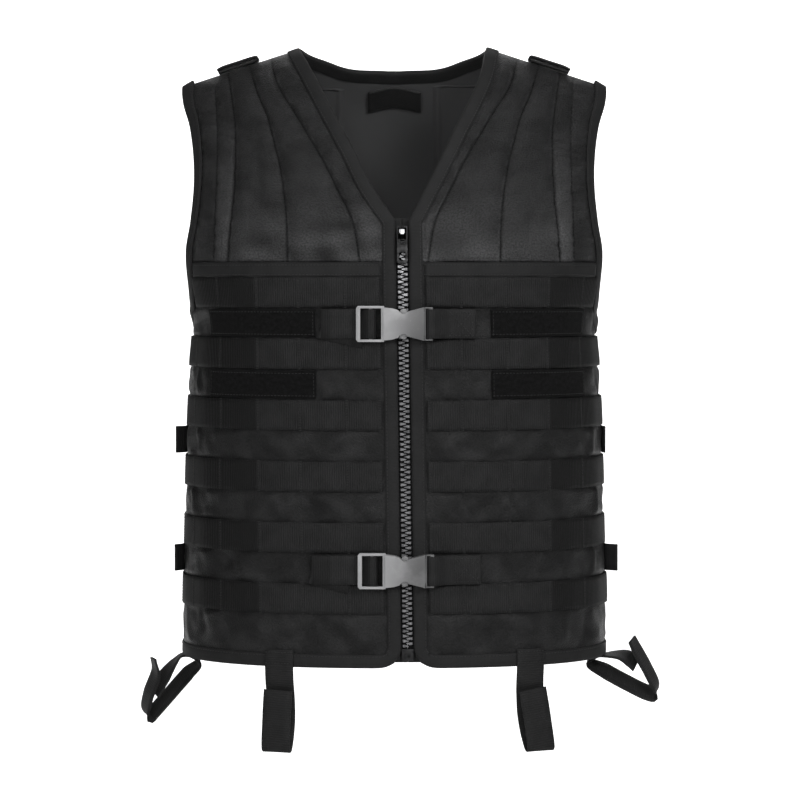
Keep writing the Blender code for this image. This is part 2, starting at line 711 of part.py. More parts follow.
def build_patches(cloths):
    """Loop patches in the first two gaps, and the tape over the yoke's seam."""
    for side, word in SIDES:
        cloth = cloths[word]
        marks = list(FRONT_MARKS)
        for k in range(2):
            low = LOW_HEIGHTS.index(ROW_EDGES[2 * (ROW_COUNT - 2 - k) + 1])
            high = LOW_HEIGHTS.index(ROW_EDGES[2 * (ROW_COUNT - 1 - k)])
            heights = (LOW_HEIGHTS[low] + PATCH_MARGIN, LOW_HEIGHTS[high] - PATCH_MARGIN)
            inside = [i for i in range(low + 1, high)]
            first = np.interp(heights[0], LOW_HEIGHTS, range(len(LOW_HEIGHTS)))
            last = np.interp(heights[1], LOW_HEIGHTS, range(len(LOW_HEIGHTS)))
            start = place_of(marks, PATCH_FROM)
            end = min(place_of(marks, PATCH_TO[word]), cloth.points.shape[1] - 2.2)
            places = [start, *[j for j in range(3, 8) if start < j < end], end]
            name = f"loop_patch_{word}_{k + 1}"
            lifts = [PATCH_LIFT] * len(places)
            skin(name, cloth, [first, *inside, last], places, PATCH_WALL, "hook_loop", side, -1, lifts)
        top = len(LOW_HEIGHTS) - 1
        columns = cloth.points.shape[1] - 1
        places = [1.06, *range(2, columns - 1), columns - 1.06]
        skin("chest_band_" + word, cloth, (top - 0.97, top - 0.02), places, WEBBING_WALL, "webbing", side, -1)


def zip_line(height, inset):
    """A point of the closure's middle line, behind the cloth's surface, with the cloth's normal there."""
    angle = angle_at(zip_x(height), height)
    here = body_point(1, -1, angle, height)
    above = body_point(1, -1, angle, height + 5)
    along = unit(above - here)
    normal = unit(np.cross(along, np.array([1.0, 0, 0])))
    normal = normal * (-1 if normal[1] > 0 else 1)
    return here - normal * inset, normal


def build_zip():
    """Tapes, teeth, slider, pull and the box at the bottom."""
    count = int((TEETH_TOP - TEETH_BOTTOM) / TOOTH_PITCH)
    heights = np.linspace(TEETH_TOP, TEETH_BOTTOM, count + 1)
    rows = []
    for k, height in enumerate(heights):
        point, _ = zip_line(height, TEETH_DEPTH)
        left = TOOTH_REACH if k % 2 else TOOTH_NECK
        right = TOOTH_NECK if k % 2 else TOOTH_REACH
        rows.append([point - (left, 0, 0), point + (right, 0, 0)])
    thicken(surface("zip_teeth", np.array(rows), (0, -1, 0), "metal"), TEETH_WALL, -1)
    for side, word in SIDES:
        rows = [[tape_point(side, x, *level) for x in (GAP, TAPE_HALF)] for level in TAPE_DEPTHS]
        tape = surface("zip_tape_" + word, np.array(rows), (0, -1, 0), "nylon")
        thicken(tape, TAPE_WALL, -1)


def tape_point(side, across, height, depth):
    """A point of a zip tape, behind the cloth, by its distance from the closure's middle line."""
    angle = angle_at(side * zip_x(height) + across, height)
    here = body_point(side, -1, angle, height)
    normal = zip_line(height, 0.0)[1]
    return here - normal * depth


def zip_holder(name, height):
    """An empty on the closure, level with the cloth."""
    point, normal = zip_line(height, 0.0)
    return holder_at(name, point, normal)


def build_slider():
    """The slider with its bridge, the pull hung on the bridge, and the box at the chain's lower end."""
    holder = zip_holder("slider_holder", SLIDER)
    body = outline([(-4.2, 7), (4.2, 7), (4.7, 2), (4.0, -7), (-4.0, -7), (-4.7, 2)], [], 6.6, "slider_body")
    slider = placed(add_object("zip_slider", body, "metal"), holder)
    slider.data.transform(Matrix.Translation((0, 0.4 * MM, 0)))
    combine(slider, box_mesh("bridge", (3, 5.4, 11), (0, -4.7, 0)), "UNION")
    combine(slider, box_mesh("bridge_window", (5, 3.2, 7), (0, -4.7, 0)), "DIFFERENCE")
    pin = zip_holder("pull_pin", SLIDER)
    pin.matrix_world = pin.matrix_world @ Matrix.Translation((0, -4.8 * MM, 0))
    plate = outline(PULL_OUTLINE, PULL_WINDOWS, PULL_WALL, "pull_plate")
    placed(add_object("zip_pull", plate, "metal"), pin)
    bottom = zip_holder("box_holder", TEETH_BOTTOM - 6.0)
    placed(add_object("zip_box", box_mesh("zip_box", (9.6, 4.4, 10.0), (0, 1.8, 0)), "metal"), bottom)
    return pin


def buckle_outline():
    """The socket's outline: wide ends, a waist, and a round notch where each prong's button shows."""
    half = [(-16.5, 13.6), (-9.0, 12.8), (-4.6, 11.4)]
    turns = np.radians((-60, -20, 20, 60))
    half += [(NOTCH_RADIUS * math.sin(a), 12.4 - NOTCH_RADIUS * math.cos(a)) for a in turns]
    half += [(16.8, 13.8)]
    return half + [(x, -z) for x, z in reversed(half)]


def build_buckle(name, height, waist_x):
    """A side-release buckle at a height of the closure."""
    point, normal = zip_line(height, 0.0)
    point = point + normal * BUCKLE_LIFT
    point[0] = waist_x
    holder = holder_at(name + "_holder", point, normal)
    socket = outline(buckle_outline(), [], 9.0, name + "_body")
    body = placed(add_object(f"buckle_{name}_socket", socket, "plastic"), holder)
    frame = outline(
        [(-37.5, 14.8), (-16.0, 14.8), (-16.0, -14.8), (-37.5, -14.8), (-39, -13), (-39, 13)],
        [[(-35.6, 12.8), (-18.4, 12.8), (-18.4, -12.8), (-35.6, -12.8)]],
        4.4,
        name + "_frame",
    )
    combine(body, frame, "UNION")
    combine(body, rod_mesh(name + "_bar", 1.5, 27.0, (-27.0, 1.0, 0), "Z"), "UNION")
    combine(body, box_mesh(name + "_pocket", (31.0, 4.6, 21.0), (4.5, 0, 0)), "DIFFERENCE")
    tongue = [(-10, -5), (10, -9.8), (17.1, -9.8), (17.1, -13.8), (24, -13.8)]
    tongue += [(x, -z) for x, z in reversed(tongue)]
    slot = [(18.2, 12.6), (20.6, 12.6), (20.6, -12.6), (18.2, -12.6)]
    plug_mesh = outline(tongue, [slot], 3.4, name + "_tongue")
    plug = placed(add_object(f"buckle_{name}_plug", plug_mesh, "plastic"), holder)
    for turn in (-1, 1):
        combine(plug, rod_mesh(name + "_button", BUTTON_RADIUS, 3.8, (0, 0, turn * 9.6), "Y"), "UNION")
    return holder


def strap_point(cloth_side, distance, height, lift):
    """A point over the front cloth, by distance from the closure's middle line."""
    cloth_height = height
    start = side_distance(cloth_side, cloth_height)
    length = distance + start
    angle = float(np.interp(length, *front_run(cloth_side, cloth_height)))
    here = body_point(cloth_side, -1, angle, cloth_height)
    ahead = body_point(cloth_side, -1, angle + 0.02, cloth_height)
    above = body_point(cloth_side, -1, angle, cloth_height + 5)
    normal = unit(np.cross(ahead - here, above - here))
    normal = normal * (-1 if normal[1] > 0 else 1)
    return here + normal * lift


def side_distance(side, height):
    """Cloth from the middle of the body to the closure, toward this side."""
    return side * zip_x(height)


def front_run(side, height):
    """Distances along the cloth from the body's middle, and the angles that they lie at."""
    angles = np.linspace(-0.2, 1.2, 200)
    points = np.array([body_point(side, -1, a, height) for a in angles])
    run = np.append(0, np.cumsum(np.linalg.norm(np.diff(points, axis=0), axis=1)))
    run = run - np.interp(0.0, angles, run)
    return run, angles


def cloth_run(side, start, end, height, lift, drops=(0.0, 0.0)):
    """Points along the front cloth, close enough together to follow its curve, dropping evenly."""
    count = max(2, int(abs(end - start) / RUN_STEP) + 1)
    shares = np.linspace(0, 1, count)
    run = [strap_point(side, start + (end - start) * t, height, lift) for t in shares]
    return [point + (0, 0, drops[0] + (drops[1] - drops[0]) * t) for point, t in zip(run, shares)]


def beside_buckle(holder, places):
    """Points over the buckle's middle line, by place along it and height off the cloth."""
    local = [Vector((x, BUCKLE_LIFT - lift, 0)) * MM for x, lift in places]
    return [np.array(holder.matrix_world @ point) / MM for point in local]


def build_straps(name, height, holder, fold, tail, sewn):
    """The adjusting strap at the buckle's left and the sewn strap at its right."""
    path = cloth_run(-1, 50.0, 40.0, height, 1.3)
    path += beside_buckle(holder, ((-30.0, 1.5), (-24.4, 3.6), (-23.6, 8.0), (-25.0, 11.0)))
    path += beside_buckle(holder, ((-28.8, 11.0), (-31.4, 8.2), (-34.0, 5.6)))
    path += cloth_run(-1, 40.0, fold - 2.0, height, 5.4)
    path += cloth_run(-1, fold, fold, height, 4.5)[:1]
    folded = len(path)
    path += cloth_run(-1, fold - 2.0, tail, height, 3.5, (-0.8, -TAIL_SLOPE * (fold - tail)))
    up = np.array([(0.0, 0.0, 1.0)] * folded + [(-TAIL_SLOPE, 0.0, 1.0)] * (len(path) - folded))
    ribbon(f"strap_{name}_left", path, up, WEBBING - 0.6, STRAP_WALL, "webbing")
    path = cloth_run(1, sewn, 30.0, height, 2.7)
    path += beside_buckle(holder, ((24.6, 5.5), (20.9, 5.7), (19.2, 7.4), (19.2, 11.0)))
    path += beside_buckle(holder, ((20.9, 12.7), (24.6, 12.2), (28.5, 9.2), (32.5, 6.0)))
    path += cloth_run(1, 38.0, sewn, height, 5.0)
    ribbon(f"strap_{name}_right", path, (0, 0, 1), WEBBING - 0.6, STRAP_WALL, "webbing")


def hem_point(x, facing):
    """The outer surface at the hem, at a distance from the middle."""
    side = 1 if x > 0 else -1
    return body_point(side, facing, angle_at(abs(x), HEM), HEM)


def build_front_loops():
    """Belt loops at the front hem: down from a sewn tab, round at the bottom and up again in front."""
    for word, x, lean in (("left", LOOP_LEFT, 0.045), ("right", LOOP_RIGHT, -0.15)):
        near, far = hem_point(x - WEBBING / 2, -1), hem_point(x + WEBBING / 2, -1)
        across = unit(far - near)
        out = np.array([across[1], -across[0], 0.0])
        base = (near + far) / 2
        path = [base + out * lift + (lean * min(z + 14.0, 0.0), 0, z) for z, lift in LOOP_PROFILE]
        ribbon("belt_loop_front_" + word, path, across, WEBBING, LOOP_WALL, "webbing")


def build_side_loops():
    """Belt loops at the side hems, standing out, each strap's end folded back over its tab."""
    for word, route in (("left", SIDE_LOOP_LEFT), ("right", SIDE_LOOP_RIGHT)):
        path = np.array([(x, SIDE_LOOP_Y, z) for x, z in route])
        along = unit(np.gradient(path, axis=0))
        ways = np.outer(SIDE_LOOP_SHARES, SIDE_LOOP_LEAN[word]) + (0.0, 0.9, 0.0)
        ways = ways - along * (ways * along).sum(axis=1, keepdims=True)
        ribbon("belt_loop_side_" + word, path, ways, WEBBING, SIDE_LOOP_WALL, "webbing")


def build_side_straps(cloths):
    """The side adjusters' ends, in the gaps between rows, sewn to the back and free toward the front."""
    back = cloths["back"]
    end = back.points.shape[1] - 1
    for side, word in SIDES:
        for k, (gap_row, flare) in enumerate(zip(SIDE_STRAP_GAPS, SIDE_STRAP_FLARES[word])):
            height = FIRST_ROW - ROW_PITCH * (gap_row - 0.5)
            row = np.interp(height, BACK_HEIGHTS, range(len(BACK_HEIGHTS)))
            path = [back.at(row, place, 1.5) for place in (end - 2.6, end - 2, end - 1, end)]
            path.append(path[-1] + (0.3, -8.0, 0))
            path.append(path[-1] + (flare, -8.0, 0))
            path = [point * (side, 1, 1) for point in path]
            ribbon(f"side_strap_{word}_{k + 1}", path, (0, 0, 1), SIDE_STRAP_WIDTH, STRAP_WALL, "webbing")


def build_shoulder_loops():
    """A short keeper of webbing across each shoulder."""
    for (side, word), x in zip(SIDES, (KEEPER_LEFT, KEEPER_RIGHT)):
        path = []
        for offset, lift in KEEPER_PROFILE:
            across = x + offset
            height = RIDGE - SHOULDER_SLOPE * across
            path.append((side * (across + 0.3 * lift), 0.0, height + lift))
        ribbon("shoulder_loop_" + word, path, (0, 1, 0), WEBBING, KEEPER_WALL, "webbing")


def build_label(cloths):
    """A bare label inside the back of the neck."""
    back = cloths["back"]
    neck_row = BACK_HEIGHTS.index(BACK_NECK[0][0])
    places = (0.0, 1.0, place_of(BACK_MARKS, LABEL_HALF))
    rows = [neck_row - 2 + LABEL_FOOT, neck_row - 1, neck_row - LABEL_DROP]
    lift = -(PANEL_WALL + BINDING_WALL + 4 * GAP)
    grid = np.array([[back.at(row, place, lift) for place in places] for row in rows])
    thicken(mirrored(surface("neck_label", grid, (0, -1, 0), "nylon")), LABEL_WALL, 1)



for old in list(bpy.data.objects):
    bpy.data.objects.remove(old, do_unlink=True)
PARTS = bpy.data.collections.new("molle_carrier_vest")
GUIDES = bpy.data.collections.new("cutters")
bpy.context.scene.collection.children.link(PARTS)
bpy.context.scene.collection.children.link(GUIDES)

CLOTHS = build_panels()
build_bindings(CLOTHS)
build_armholes(CLOTHS)
build_webbing(CLOTHS)
build_patches(CLOTHS)
build_zip()
build_slider()
TOP_HOLDER = build_buckle("top", BUCKLE_TOP, TOP_WAIST)
BOTTOM_HOLDER = build_buckle("bottom", BUCKLE_BOTTOM, BOTTOM_WAIST)
build_straps("top", BUCKLE_TOP, TOP_HOLDER, 68.0, 31.0, 59.0)
build_straps("bottom", BUCKLE_BOTTOM, BOTTOM_HOLDER, 79.0, 46.0, 61.0)
build_front_loops()
build_side_loops()
build_side_straps(CLOTHS)
build_shoulder_loops()
build_label(CLOTHS)
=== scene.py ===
# %% [markdown]
# # A webbing carrier vest
#
# The vest is black nylon, worn over a body that isn't shown: quilted shoulder yokes, two fronts with rows
# of sewn webbing for pouches, a zip with two side-release buckles over it, and belt loops at the hem.
# Cloth on a body is a surface before it is anything else. So the plan is one function that gives a point of
# the vest for an angle round the body and a height, and every cloth piece is a grid of points taken from it.
# A modelling program could sculpt the same cloth by hand, but then webbing, seams and stitches would each
# have to be fitted to it. Here they ask the same function where the cloth is, so they can't float or sink.

# %% Load the frame
import math

import bmesh
import bpy
import numpy as np
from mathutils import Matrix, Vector


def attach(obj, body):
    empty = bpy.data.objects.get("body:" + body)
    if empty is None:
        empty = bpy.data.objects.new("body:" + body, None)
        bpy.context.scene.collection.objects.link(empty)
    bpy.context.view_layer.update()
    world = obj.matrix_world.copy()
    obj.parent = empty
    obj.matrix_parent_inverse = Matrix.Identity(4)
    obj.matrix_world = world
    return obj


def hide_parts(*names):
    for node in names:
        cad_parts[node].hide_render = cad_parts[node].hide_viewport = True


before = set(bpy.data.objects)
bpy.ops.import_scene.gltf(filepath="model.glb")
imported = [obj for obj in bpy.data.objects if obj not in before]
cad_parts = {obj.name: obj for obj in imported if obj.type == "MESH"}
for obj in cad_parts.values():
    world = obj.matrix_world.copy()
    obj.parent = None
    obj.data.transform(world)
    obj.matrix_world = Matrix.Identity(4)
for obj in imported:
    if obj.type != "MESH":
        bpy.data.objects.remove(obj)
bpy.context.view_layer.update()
MM = 0.001
VEST = "vest"
FRONT, BACK = -1, 1
SIDES = ((-1, "left"), (1, "right"))

# %% [markdown]
# ## Objects
#
# Everything below ends as a mesh at the origin, so the few lines that link one stand here once. They also
# say which body it rides and which solid of the frame it stands for.

# %% Linking an object
def placed(name, mesh, body_name=VEST, node=None):
    """Links a mesh as an object that rides a body, and that stands for a node where one is given."""
    made = bpy.data.objects.new(name, mesh)
    bpy.context.scene.collection.objects.link(made)
    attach(made, body_name)
    if node:
        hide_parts(node)
    return made


def reworked(meshes, into, work):
    """Puts meshes together, lets work change them, and writes them into a mesh."""
    shape = bmesh.new()
    for mesh in meshes:
        shape.from_mesh(mesh)
    work(shape)
    shape.to_mesh(into)
    shape.free()


def aimed(name, data, place, target):
    """A camera or a lamp at a place, turned toward a target."""
    made = bpy.data.objects.new(name, data)
    made.location = place
    made.rotation_mode = "QUATERNION"
    made.rotation_quaternion = (Vector(target) - Vector(place)).to_track_quat("-Z", "Y")
    bpy.context.scene.collection.objects.link(made)
    return made


print("helpers ready")


# %% [markdown]
# ## Camera and light
#
# The photograph is taken from about two and a half metres, level with the chest and aimed a little down, so
# the belly is seen straight on and the hem slightly from above. A long lens far away gives the same flat
# look, which a short lens close by can't. Black cloth shows its form only where it catches light, so soft
# lamps stand at both sides and above, the strongest one to the right, and a small one beside the camera puts
# the gloss on the buckles. The surroundings stay dim, because they would lift every black to the same grey.

# %% Camera
EYE = Vector((0.005, -2.615, -0.164))
AIM = Vector((0.005, -0.115, -0.276))
VIEW_WIDTH, SENSOR = 0.661, 36.0
camera_data = bpy.data.cameras.new("camera")
camera_data.sensor_width = SENSOR
camera_data.lens = SENSOR * (AIM - EYE).length / VIEW_WIDTH
bpy.context.scene.camera = aimed("camera", camera_data, EYE, AIM)
print("lens", round(camera_data.lens, 1), "mm")

# %% Light
SURROUNDINGS = 0.05
LAMPS = (
    ("key", (1.2, -2.3, 0.8), (0, 0, -0.25), 0.8, 25),
    ("fill", (-1.4, -2.3, 0.3), (0, 0, -0.3), 0.8, 10),
    ("front", (-0.25, -2.8, 0.3), (0, 0, -0.3), 0.5, 9),
    ("top", (0.2, -0.7, 1.5), (0, 0, -0.2), 0.8, 9),
)
world = bpy.data.worlds.new("studio")
world.use_nodes = True
background = world.node_tree.nodes["Background"]
background.inputs["Color"].default_value = (1, 1, 1, 1)
background.inputs["Strength"].default_value = SURROUNDINGS
bpy.context.scene.world = world
bpy.context.scene.view_settings.view_transform = "Standard"
for name, place, target, size, power in LAMPS:
    lamp = bpy.data.lights.new(name, "AREA")
    lamp.size = size
    lamp.energy = power
    aimed(name, lamp, place, target)
print("lamps", len(LAMPS))


# %% [markdown]
# ## Finishes written as sums
#
# A finish is a small formula: a weave is two waves, a rib is one, wear is a noise with its ends cut off.
# Nodes can be placed one by one, but a formula is easier to read as a formula. The class below wraps a
# node's socket so that + - * / on it add the Math nodes.

# %% Shader sums
def give(tree, slot, value):
    """Links a sum to a socket, or sets the socket to a number or a colour."""
    if isinstance(value, Sum):
        tree.links.new(value.socket, slot)
    else:
        slot.default_value = value


class Sum:
    """A value in a node tree. Arithmetic on it adds Math nodes."""

    def __init__(self, tree, socket):
        self.tree = tree
        self.socket = socket

    def math(self, operation, *others, clamp=False):
        """One Math node over this value and the others."""
        node = self.tree.nodes.new("ShaderNodeMath")
        node.operation = operation
        node.use_clamp = clamp
        for slot, value in zip(node.inputs, (self, *others)):
            give(self.tree, slot, value)
        return Sum(self.tree, node.outputs[0])

    def __add__(self, other):
        return self.math("ADD", other)

    def __sub__(self, other):
        return self.math("SUBTRACT", other)

    def __rsub__(self, other):
        return (self * -1.0).math("ADD", other)

    def __mul__(self, other):
        return self.math("MULTIPLY", other)

    def __truediv__(self, other):
        return self.math("DIVIDE", other)

    __radd__ = __add__
    __rmul__ = __mul__

    def wave(self, period):
        """From 0 to 1 and back over each period."""
        return (self * (2 * math.pi / period)).math("SINE") * 0.5 + 0.5

    def step(self, low, high):
        """0 below low, 1 above high, smooth between them."""
        node = self.tree.nodes.new("ShaderNodeMapRange")
        node.interpolation_type = "SMOOTHSTEP"
        self.tree.links.new(self.socket, node.inputs["Value"])
        node.inputs["From Min"].default_value = low
        node.inputs["From Max"].default_value = high
        return Sum(self.tree, node.outputs["Result"])


class Finish:
    """A material made from sums, with its Principled shader as shader."""

    def __init__(self, name, constants):
        self.material = bpy.data.materials.new(name)
        self.material.use_nodes = True
        self.tree = self.material.node_tree
        self.shader = self.tree.nodes["Principled BSDF"]
        for socket, value in constants.items():
            self.shader.inputs[socket].default_value = value

    def node(self, kind, settings=None, values=None, output=0):
        """Any node: settings first, then numbers or links for its sockets."""
        made = self.tree.nodes.new(kind)
        for key, value in (settings or {}).items():
            setattr(made, key, value)
        for key, value in (values or {}).items():
            give(self.tree, made.inputs[key], value)
        return Sum(self.tree, made.outputs[output])

    def parts(self, vector):
        """The three coordinates of a vector."""
        split = self.tree.nodes.new("ShaderNodeSeparateXYZ")
        self.tree.links.new(vector.socket, split.inputs[0])
        return [Sum(self.tree, socket) for socket in split.outputs]

    def cloth_places(self):
        """The piece's own UV map, and with it the distances along and across the cloth in metres."""
        uv = self.node("ShaderNodeUVMap", {"uv_map": "cloth"})
        return uv, *self.parts(uv)[:2]

    def object_places(self):
        """The point itself and its three coordinates in metres."""
        point = self.node("ShaderNodeTexCoord", output=3)
        return point, *self.parts(point)

    def noise(self, vector, scale, detail=2.0, roughness=0.5):
        """Cloudy values from 0 to 1, scale in lumps per metre."""
        values = {"Vector": vector, "Scale": scale, "Detail": detail, "Roughness": roughness}
        return self.node("ShaderNodeTexNoise", {}, values)

    def mix(self, factor, first, second):
        """A colour between two, by the factor."""
        first, second = (value if isinstance(value, Sum) else (*value, 1) for value in (first, second))
        return self.node("ShaderNodeMix", {"data_type": "RGBA"}, {0: factor, 6: first, 7: second}, output=2)

    def feed(self, **sums):
        """Links values to the shader's sockets; an underscore stands for a space."""
        for key, value in sums.items():
            give(self.tree, self.shader.inputs[key.replace("_", " ")], value)
        return self.material

    def with_relief(self, colour, roughness, height, distance):
        """The material with a colour, a roughness and a fine relief of a height in metres."""
        relief = self.node("ShaderNodeBump", {}, {"Height": height, "Distance": distance, "Strength": 1.0})
        return self.feed(Base_Color=colour, Roughness=roughness, Normal=relief)


print("finish classes ready")


# %% [markdown]
# ## Cloth finishes
#
# Each cloth has one look on the real vest: a plain weave with a dull nylon gloss on the fronts, a softer and
# lighter one on the padding, ribs across the webbing, grosgrain on the bindings and a matt fuzz on the loop
# tape. The weave is a formula of two distances along the cloth, so it follows every fold. Painted images
# would do as well, but they would have to be drawn and would blur up close.

# %% Woven cloth
SIDE_SHADE = (0.145, 0.175)
SPECKS, YARN_FLUFF = 620.0, 700.0
LINING_RIDGES, RIDGE_WIDTH = (-0.050, 0.0395), 0.0045


def grey(level):
    """A very slightly cool black of a brightness."""
    return (level, level, level * 1.02)


def weave(finish, u, v, thread):
    """Plain weave: threads lie over each other in turn, so a checker chooses between two rows of ridges."""
    first = (u / thread).math("FLOOR")
    second = (v / thread).math("FLOOR")
    odd = ((first + second) * 0.5).math("FRACT") * 2.0
    over = (u * (math.pi / thread)).math("SINE").math("ABSOLUTE")
    under = (v * (math.pi / thread)).math("SINE").math("ABSOLUTE")
    return over * odd + under * (1.0 - odd)


def woven(name, dark, light, thread, relief, roughness, sheen, blotch=38.0, painted_sheen_and_wear=None):
    """A plain woven cloth: its tone adds up soft blotches, specks of single threads and the weave's pits.

    Its colour has painted shade toward the sides, where it turns away. Given a highlight colour, it goes
    toward it where the piece's attribute "gleam" is above 0, as painted highlight, and toward black below 0,
    as painted shade.
    """
    finish = Finish(name, {"Sheen Weight": sheen, "Sheen Roughness": 0.45, "Specular IOR Level": 0.30})
    uv, u, v = finish.cloth_places()
    threads = weave(finish, u, v, thread)
    patches = finish.noise(uv, blotch, 3.0, 0.55).step(0.38, 0.64)
    specks = finish.noise(uv, SPECKS, 2.0).step(0.32, 0.68)
    tone = patches * 0.45 + specks * 0.42 + threads * 0.13
    if painted_sheen_and_wear:
        # Painted highlight and painted shade: gleam above 0 lightens the colour toward the given one, below 0
        # blackens it.
        gleam = finish.node("ShaderNodeAttribute", {"attribute_name": "gleam"}, output=2)
        painted_light_and_roughness = gleam.math("MAXIMUM", 0.0) * (specks * 0.6 + 0.4)
        colour = finish.mix(painted_light_and_roughness, finish.mix(tone, dark, light), painted_sheen_and_wear)
        colour = finish.mix((gleam * -1.0).math("MAXIMUM", 0.0), colour, grey(0.001))
    else:
        # Painted shade: the colour darkens toward the sides, where the cloth turns away from the light.
        shade = u.math("ABSOLUTE").step(*SIDE_SHADE) * 0.6
        colour = finish.mix(tone * (1.0 - shade), dark, light)
    painted_light_and_roughness = roughness + patches * -0.12 + specks * 0.06
    return finish.with_relief(colour, painted_light_and_roughness, threads * 0.5 + specks * 0.9, relief)


def ribbed(name, dark, light, pitch, relief, roughness, sheen, change=None, drop=0.95):
    """Webbing: ribs across the tape, lengthwise yarns and fluff. Beyond the distance change it has painted
    shade.
    """
    finish = Finish(name, {"Sheen Weight": sheen, "Sheen Roughness": 0.5, "Specular IOR Level": 0.3})
    uv, u, v = finish.cloth_places()
    drift = finish.noise(uv, 140.0, 1.0) * (pitch * 0.5)
    ribs = (u + drift).wave(pitch)
    yarns = v.wave(pitch * 0.55)
    fluff = finish.noise(uv, YARN_FLUFF, 2.0)
    patches = finish.noise(uv, 60.0, 2.0).step(0.3, 0.7)
    tone = ribs * 0.4 + fluff.step(0.3, 0.7) * 0.3 + patches * 0.3
    if change:
        # Painted shade: beyond the distance change the tape's colour drops, where it turns away or folds back.
        tone = tone * (1.0 - u.math("ABSOLUTE").step(change, change + 0.004) * drop)
    height = ribs * 0.6 + yarns * 0.25 + fluff * 0.6
    return finish.with_relief(finish.mix(tone, dark, light), roughness + fluff * 0.1, height, relief)


def lining(name, dark, light):
    """Thin plain lining, with the two ridges that the straps behind it press through, painted lighter as
    highlight.
    """
    finish = Finish(name, {"Sheen Weight": 0.05, "Specular IOR Level": 0.3})
    uv, u, v = finish.cloth_places()
    soft = finish.noise(uv, 20.0, 2.0)
    first, second = ((u - place).math("ABSOLUTE").step(RIDGE_WIDTH, 0.0) for place in LINING_RIDGES)
    ridges = first + second
    # Painted highlight: the ridges are coloured lighter.
    colour = finish.mix(soft * 0.7 + ridges * 0.3, dark, light)
    height = ridges + soft * 0.8 + weave(finish, u, v, 0.001) * 0.05
    return finish.with_relief(colour, 0.66 + soft * 0.1, height, 0.0016)


NYLON = woven("nylon", grey(0.001), grey(0.022), 0.0009, 0.00024, 0.50, 0.03)
# The padding's last colour is that of its painted highlight.
PADDING = woven("padding", grey(0.003), grey(0.029), 0.0008, 0.0003, 0.45, 0.05, 30.0, grey(0.105))
LINING = lining("lining", grey(0.070), grey(0.085))
WEBBING = ribbed("webbing", grey(0.005), grey(0.019), 0.0019, 0.00026, 0.62, 0.03)
# Painted shade: the rows darken beyond 117 mm from their inner end, the folded straps beyond 70 mm along them.
ROW_WEBBING = ribbed("row_webbing", grey(0.001), grey(0.022), 0.0019, 0.0004, 0.60, 0.03, 0.117)
FOLD_WEBBING = ribbed("fold_webbing", grey(0.003), grey(0.021), 0.0019, 0.00030, 0.62, 0.03, 0.070, 0.6)
BINDING = ribbed("binding", grey(0.007), grey(0.019), 0.0012, 0.00014, 0.62, 0.04)
LABEL = woven("label", grey(0.008), grey(0.014), 0.0006, 0.00006, 0.50, 0.1)
THREAD = ribbed("thread", grey(0.008), grey(0.028), 0.0008, 0.00008, 0.55, 0.1)
QUILT_THREAD = ribbed("quilt_thread", grey(0.001), grey(0.006), 0.0008, 0.00008, 0.70, 0.0)
print("cloth finishes", len(bpy.data.materials))


# %% Loop tape, plastic and metal
# Where the buckle's painted highlight fades, in metres of x.
BUCKLE_SHADE = (0.024, -0.014)
# Boxes in millimetres: the pull's eye, painted dark as painted shadow, and the bright lug.
EYE_BOX = ((6.6, -138.6), (3.4, 4.6))
LUG_BOX = ((6.6, -137.1), (2.0, 1.8))


def fuzzy(name):
    """Loop tape: a dense nap of tiny loops, nearly without gloss."""
    finish = Finish(name, {"Sheen Weight": 0.02, "Sheen Roughness": 0.7, "Specular IOR Level": 0.06})
    uv = finish.cloth_places()[0]
    nap = finish.noise(uv, 1400.0, 3.0, 0.7)
    tufts = finish.noise(uv, 330.0, 2.0)
    tone = nap * 0.6 + tufts * 0.4
    colour = finish.mix(tone.step(0.35, 0.7), grey(0.003), grey(0.012))
    return finish.with_relief(colour, 0.86 + nap * 0.1, nap * 0.7 + tufts * 0.6, 0.0005)


def moulded(name):
    """Satin plastic: fine grain, polished smoother in places, and a painted highlight at one end of the
    buckle.
    """
    finish = Finish(name, {"Specular IOR Level": 0.8})
    point, x = finish.object_places()[:2]
    grain = finish.noise(point, 2600.0, 2.0)
    painted_sheen_and_wear = finish.noise(point, 70.0, 3.0).step(0.45, 0.7)
    scratch = finish.noise(point, 420.0, 4.0, 0.7).step(0.62, 0.72)
    # Painted highlight: the lamps' reflection is painted as a lighter colour toward one end of the buckle.
    lit = x.step(*BUCKLE_SHADE) * 0.7
    colour = finish.mix(lit + scratch * 0.15 + painted_sheen_and_wear * 0.15, grey(0.10), grey(0.54))
    return finish.with_relief(colour, 0.36 - painted_sheen_and_wear * 0.10 + grain * 0.08 + scratch * 0.1, grain, 0.00005)


def near_box(x, z, middle, half):
    """1 within a box round a place in x and z, in millimetres, and 0 beyond a soft edge of 0.3 mm."""
    inside = [(value - place * MM).math("ABSOLUTE").step(reach * MM + 0.0003, reach * MM)
              for value, place, reach in zip((x, z), middle, half)]
    return inside[0] * inside[1]


def plated(name, low, high, roughness, eye=False, lug=False):
    """Plate on cast metal, dulled in its hollows, painted shadow in the pull's eye, bright where bare on the
    lug.
    """
    finish = Finish(name, {"Metallic": 1.0})
    point, x, _, z = finish.object_places()
    dull = finish.noise(point, 260.0, 3.0).step(0.35, 0.75)
    grain = finish.noise(point, 1800.0, 2.0)
    colour = finish.mix(dull, high, low)
    if eye:
        # Painted shadow: the pull's eye is coloured nearly black.
        colour = finish.mix(near_box(x, z, *EYE_BOX), colour, grey(0.002))
    if lug:
        colour = finish.mix(near_box(x, z, *LUG_BOX), colour, grey(0.95))
    return finish.with_relief(colour, roughness + dull * 0.15 + grain * 0.05, grain, 0.00004)


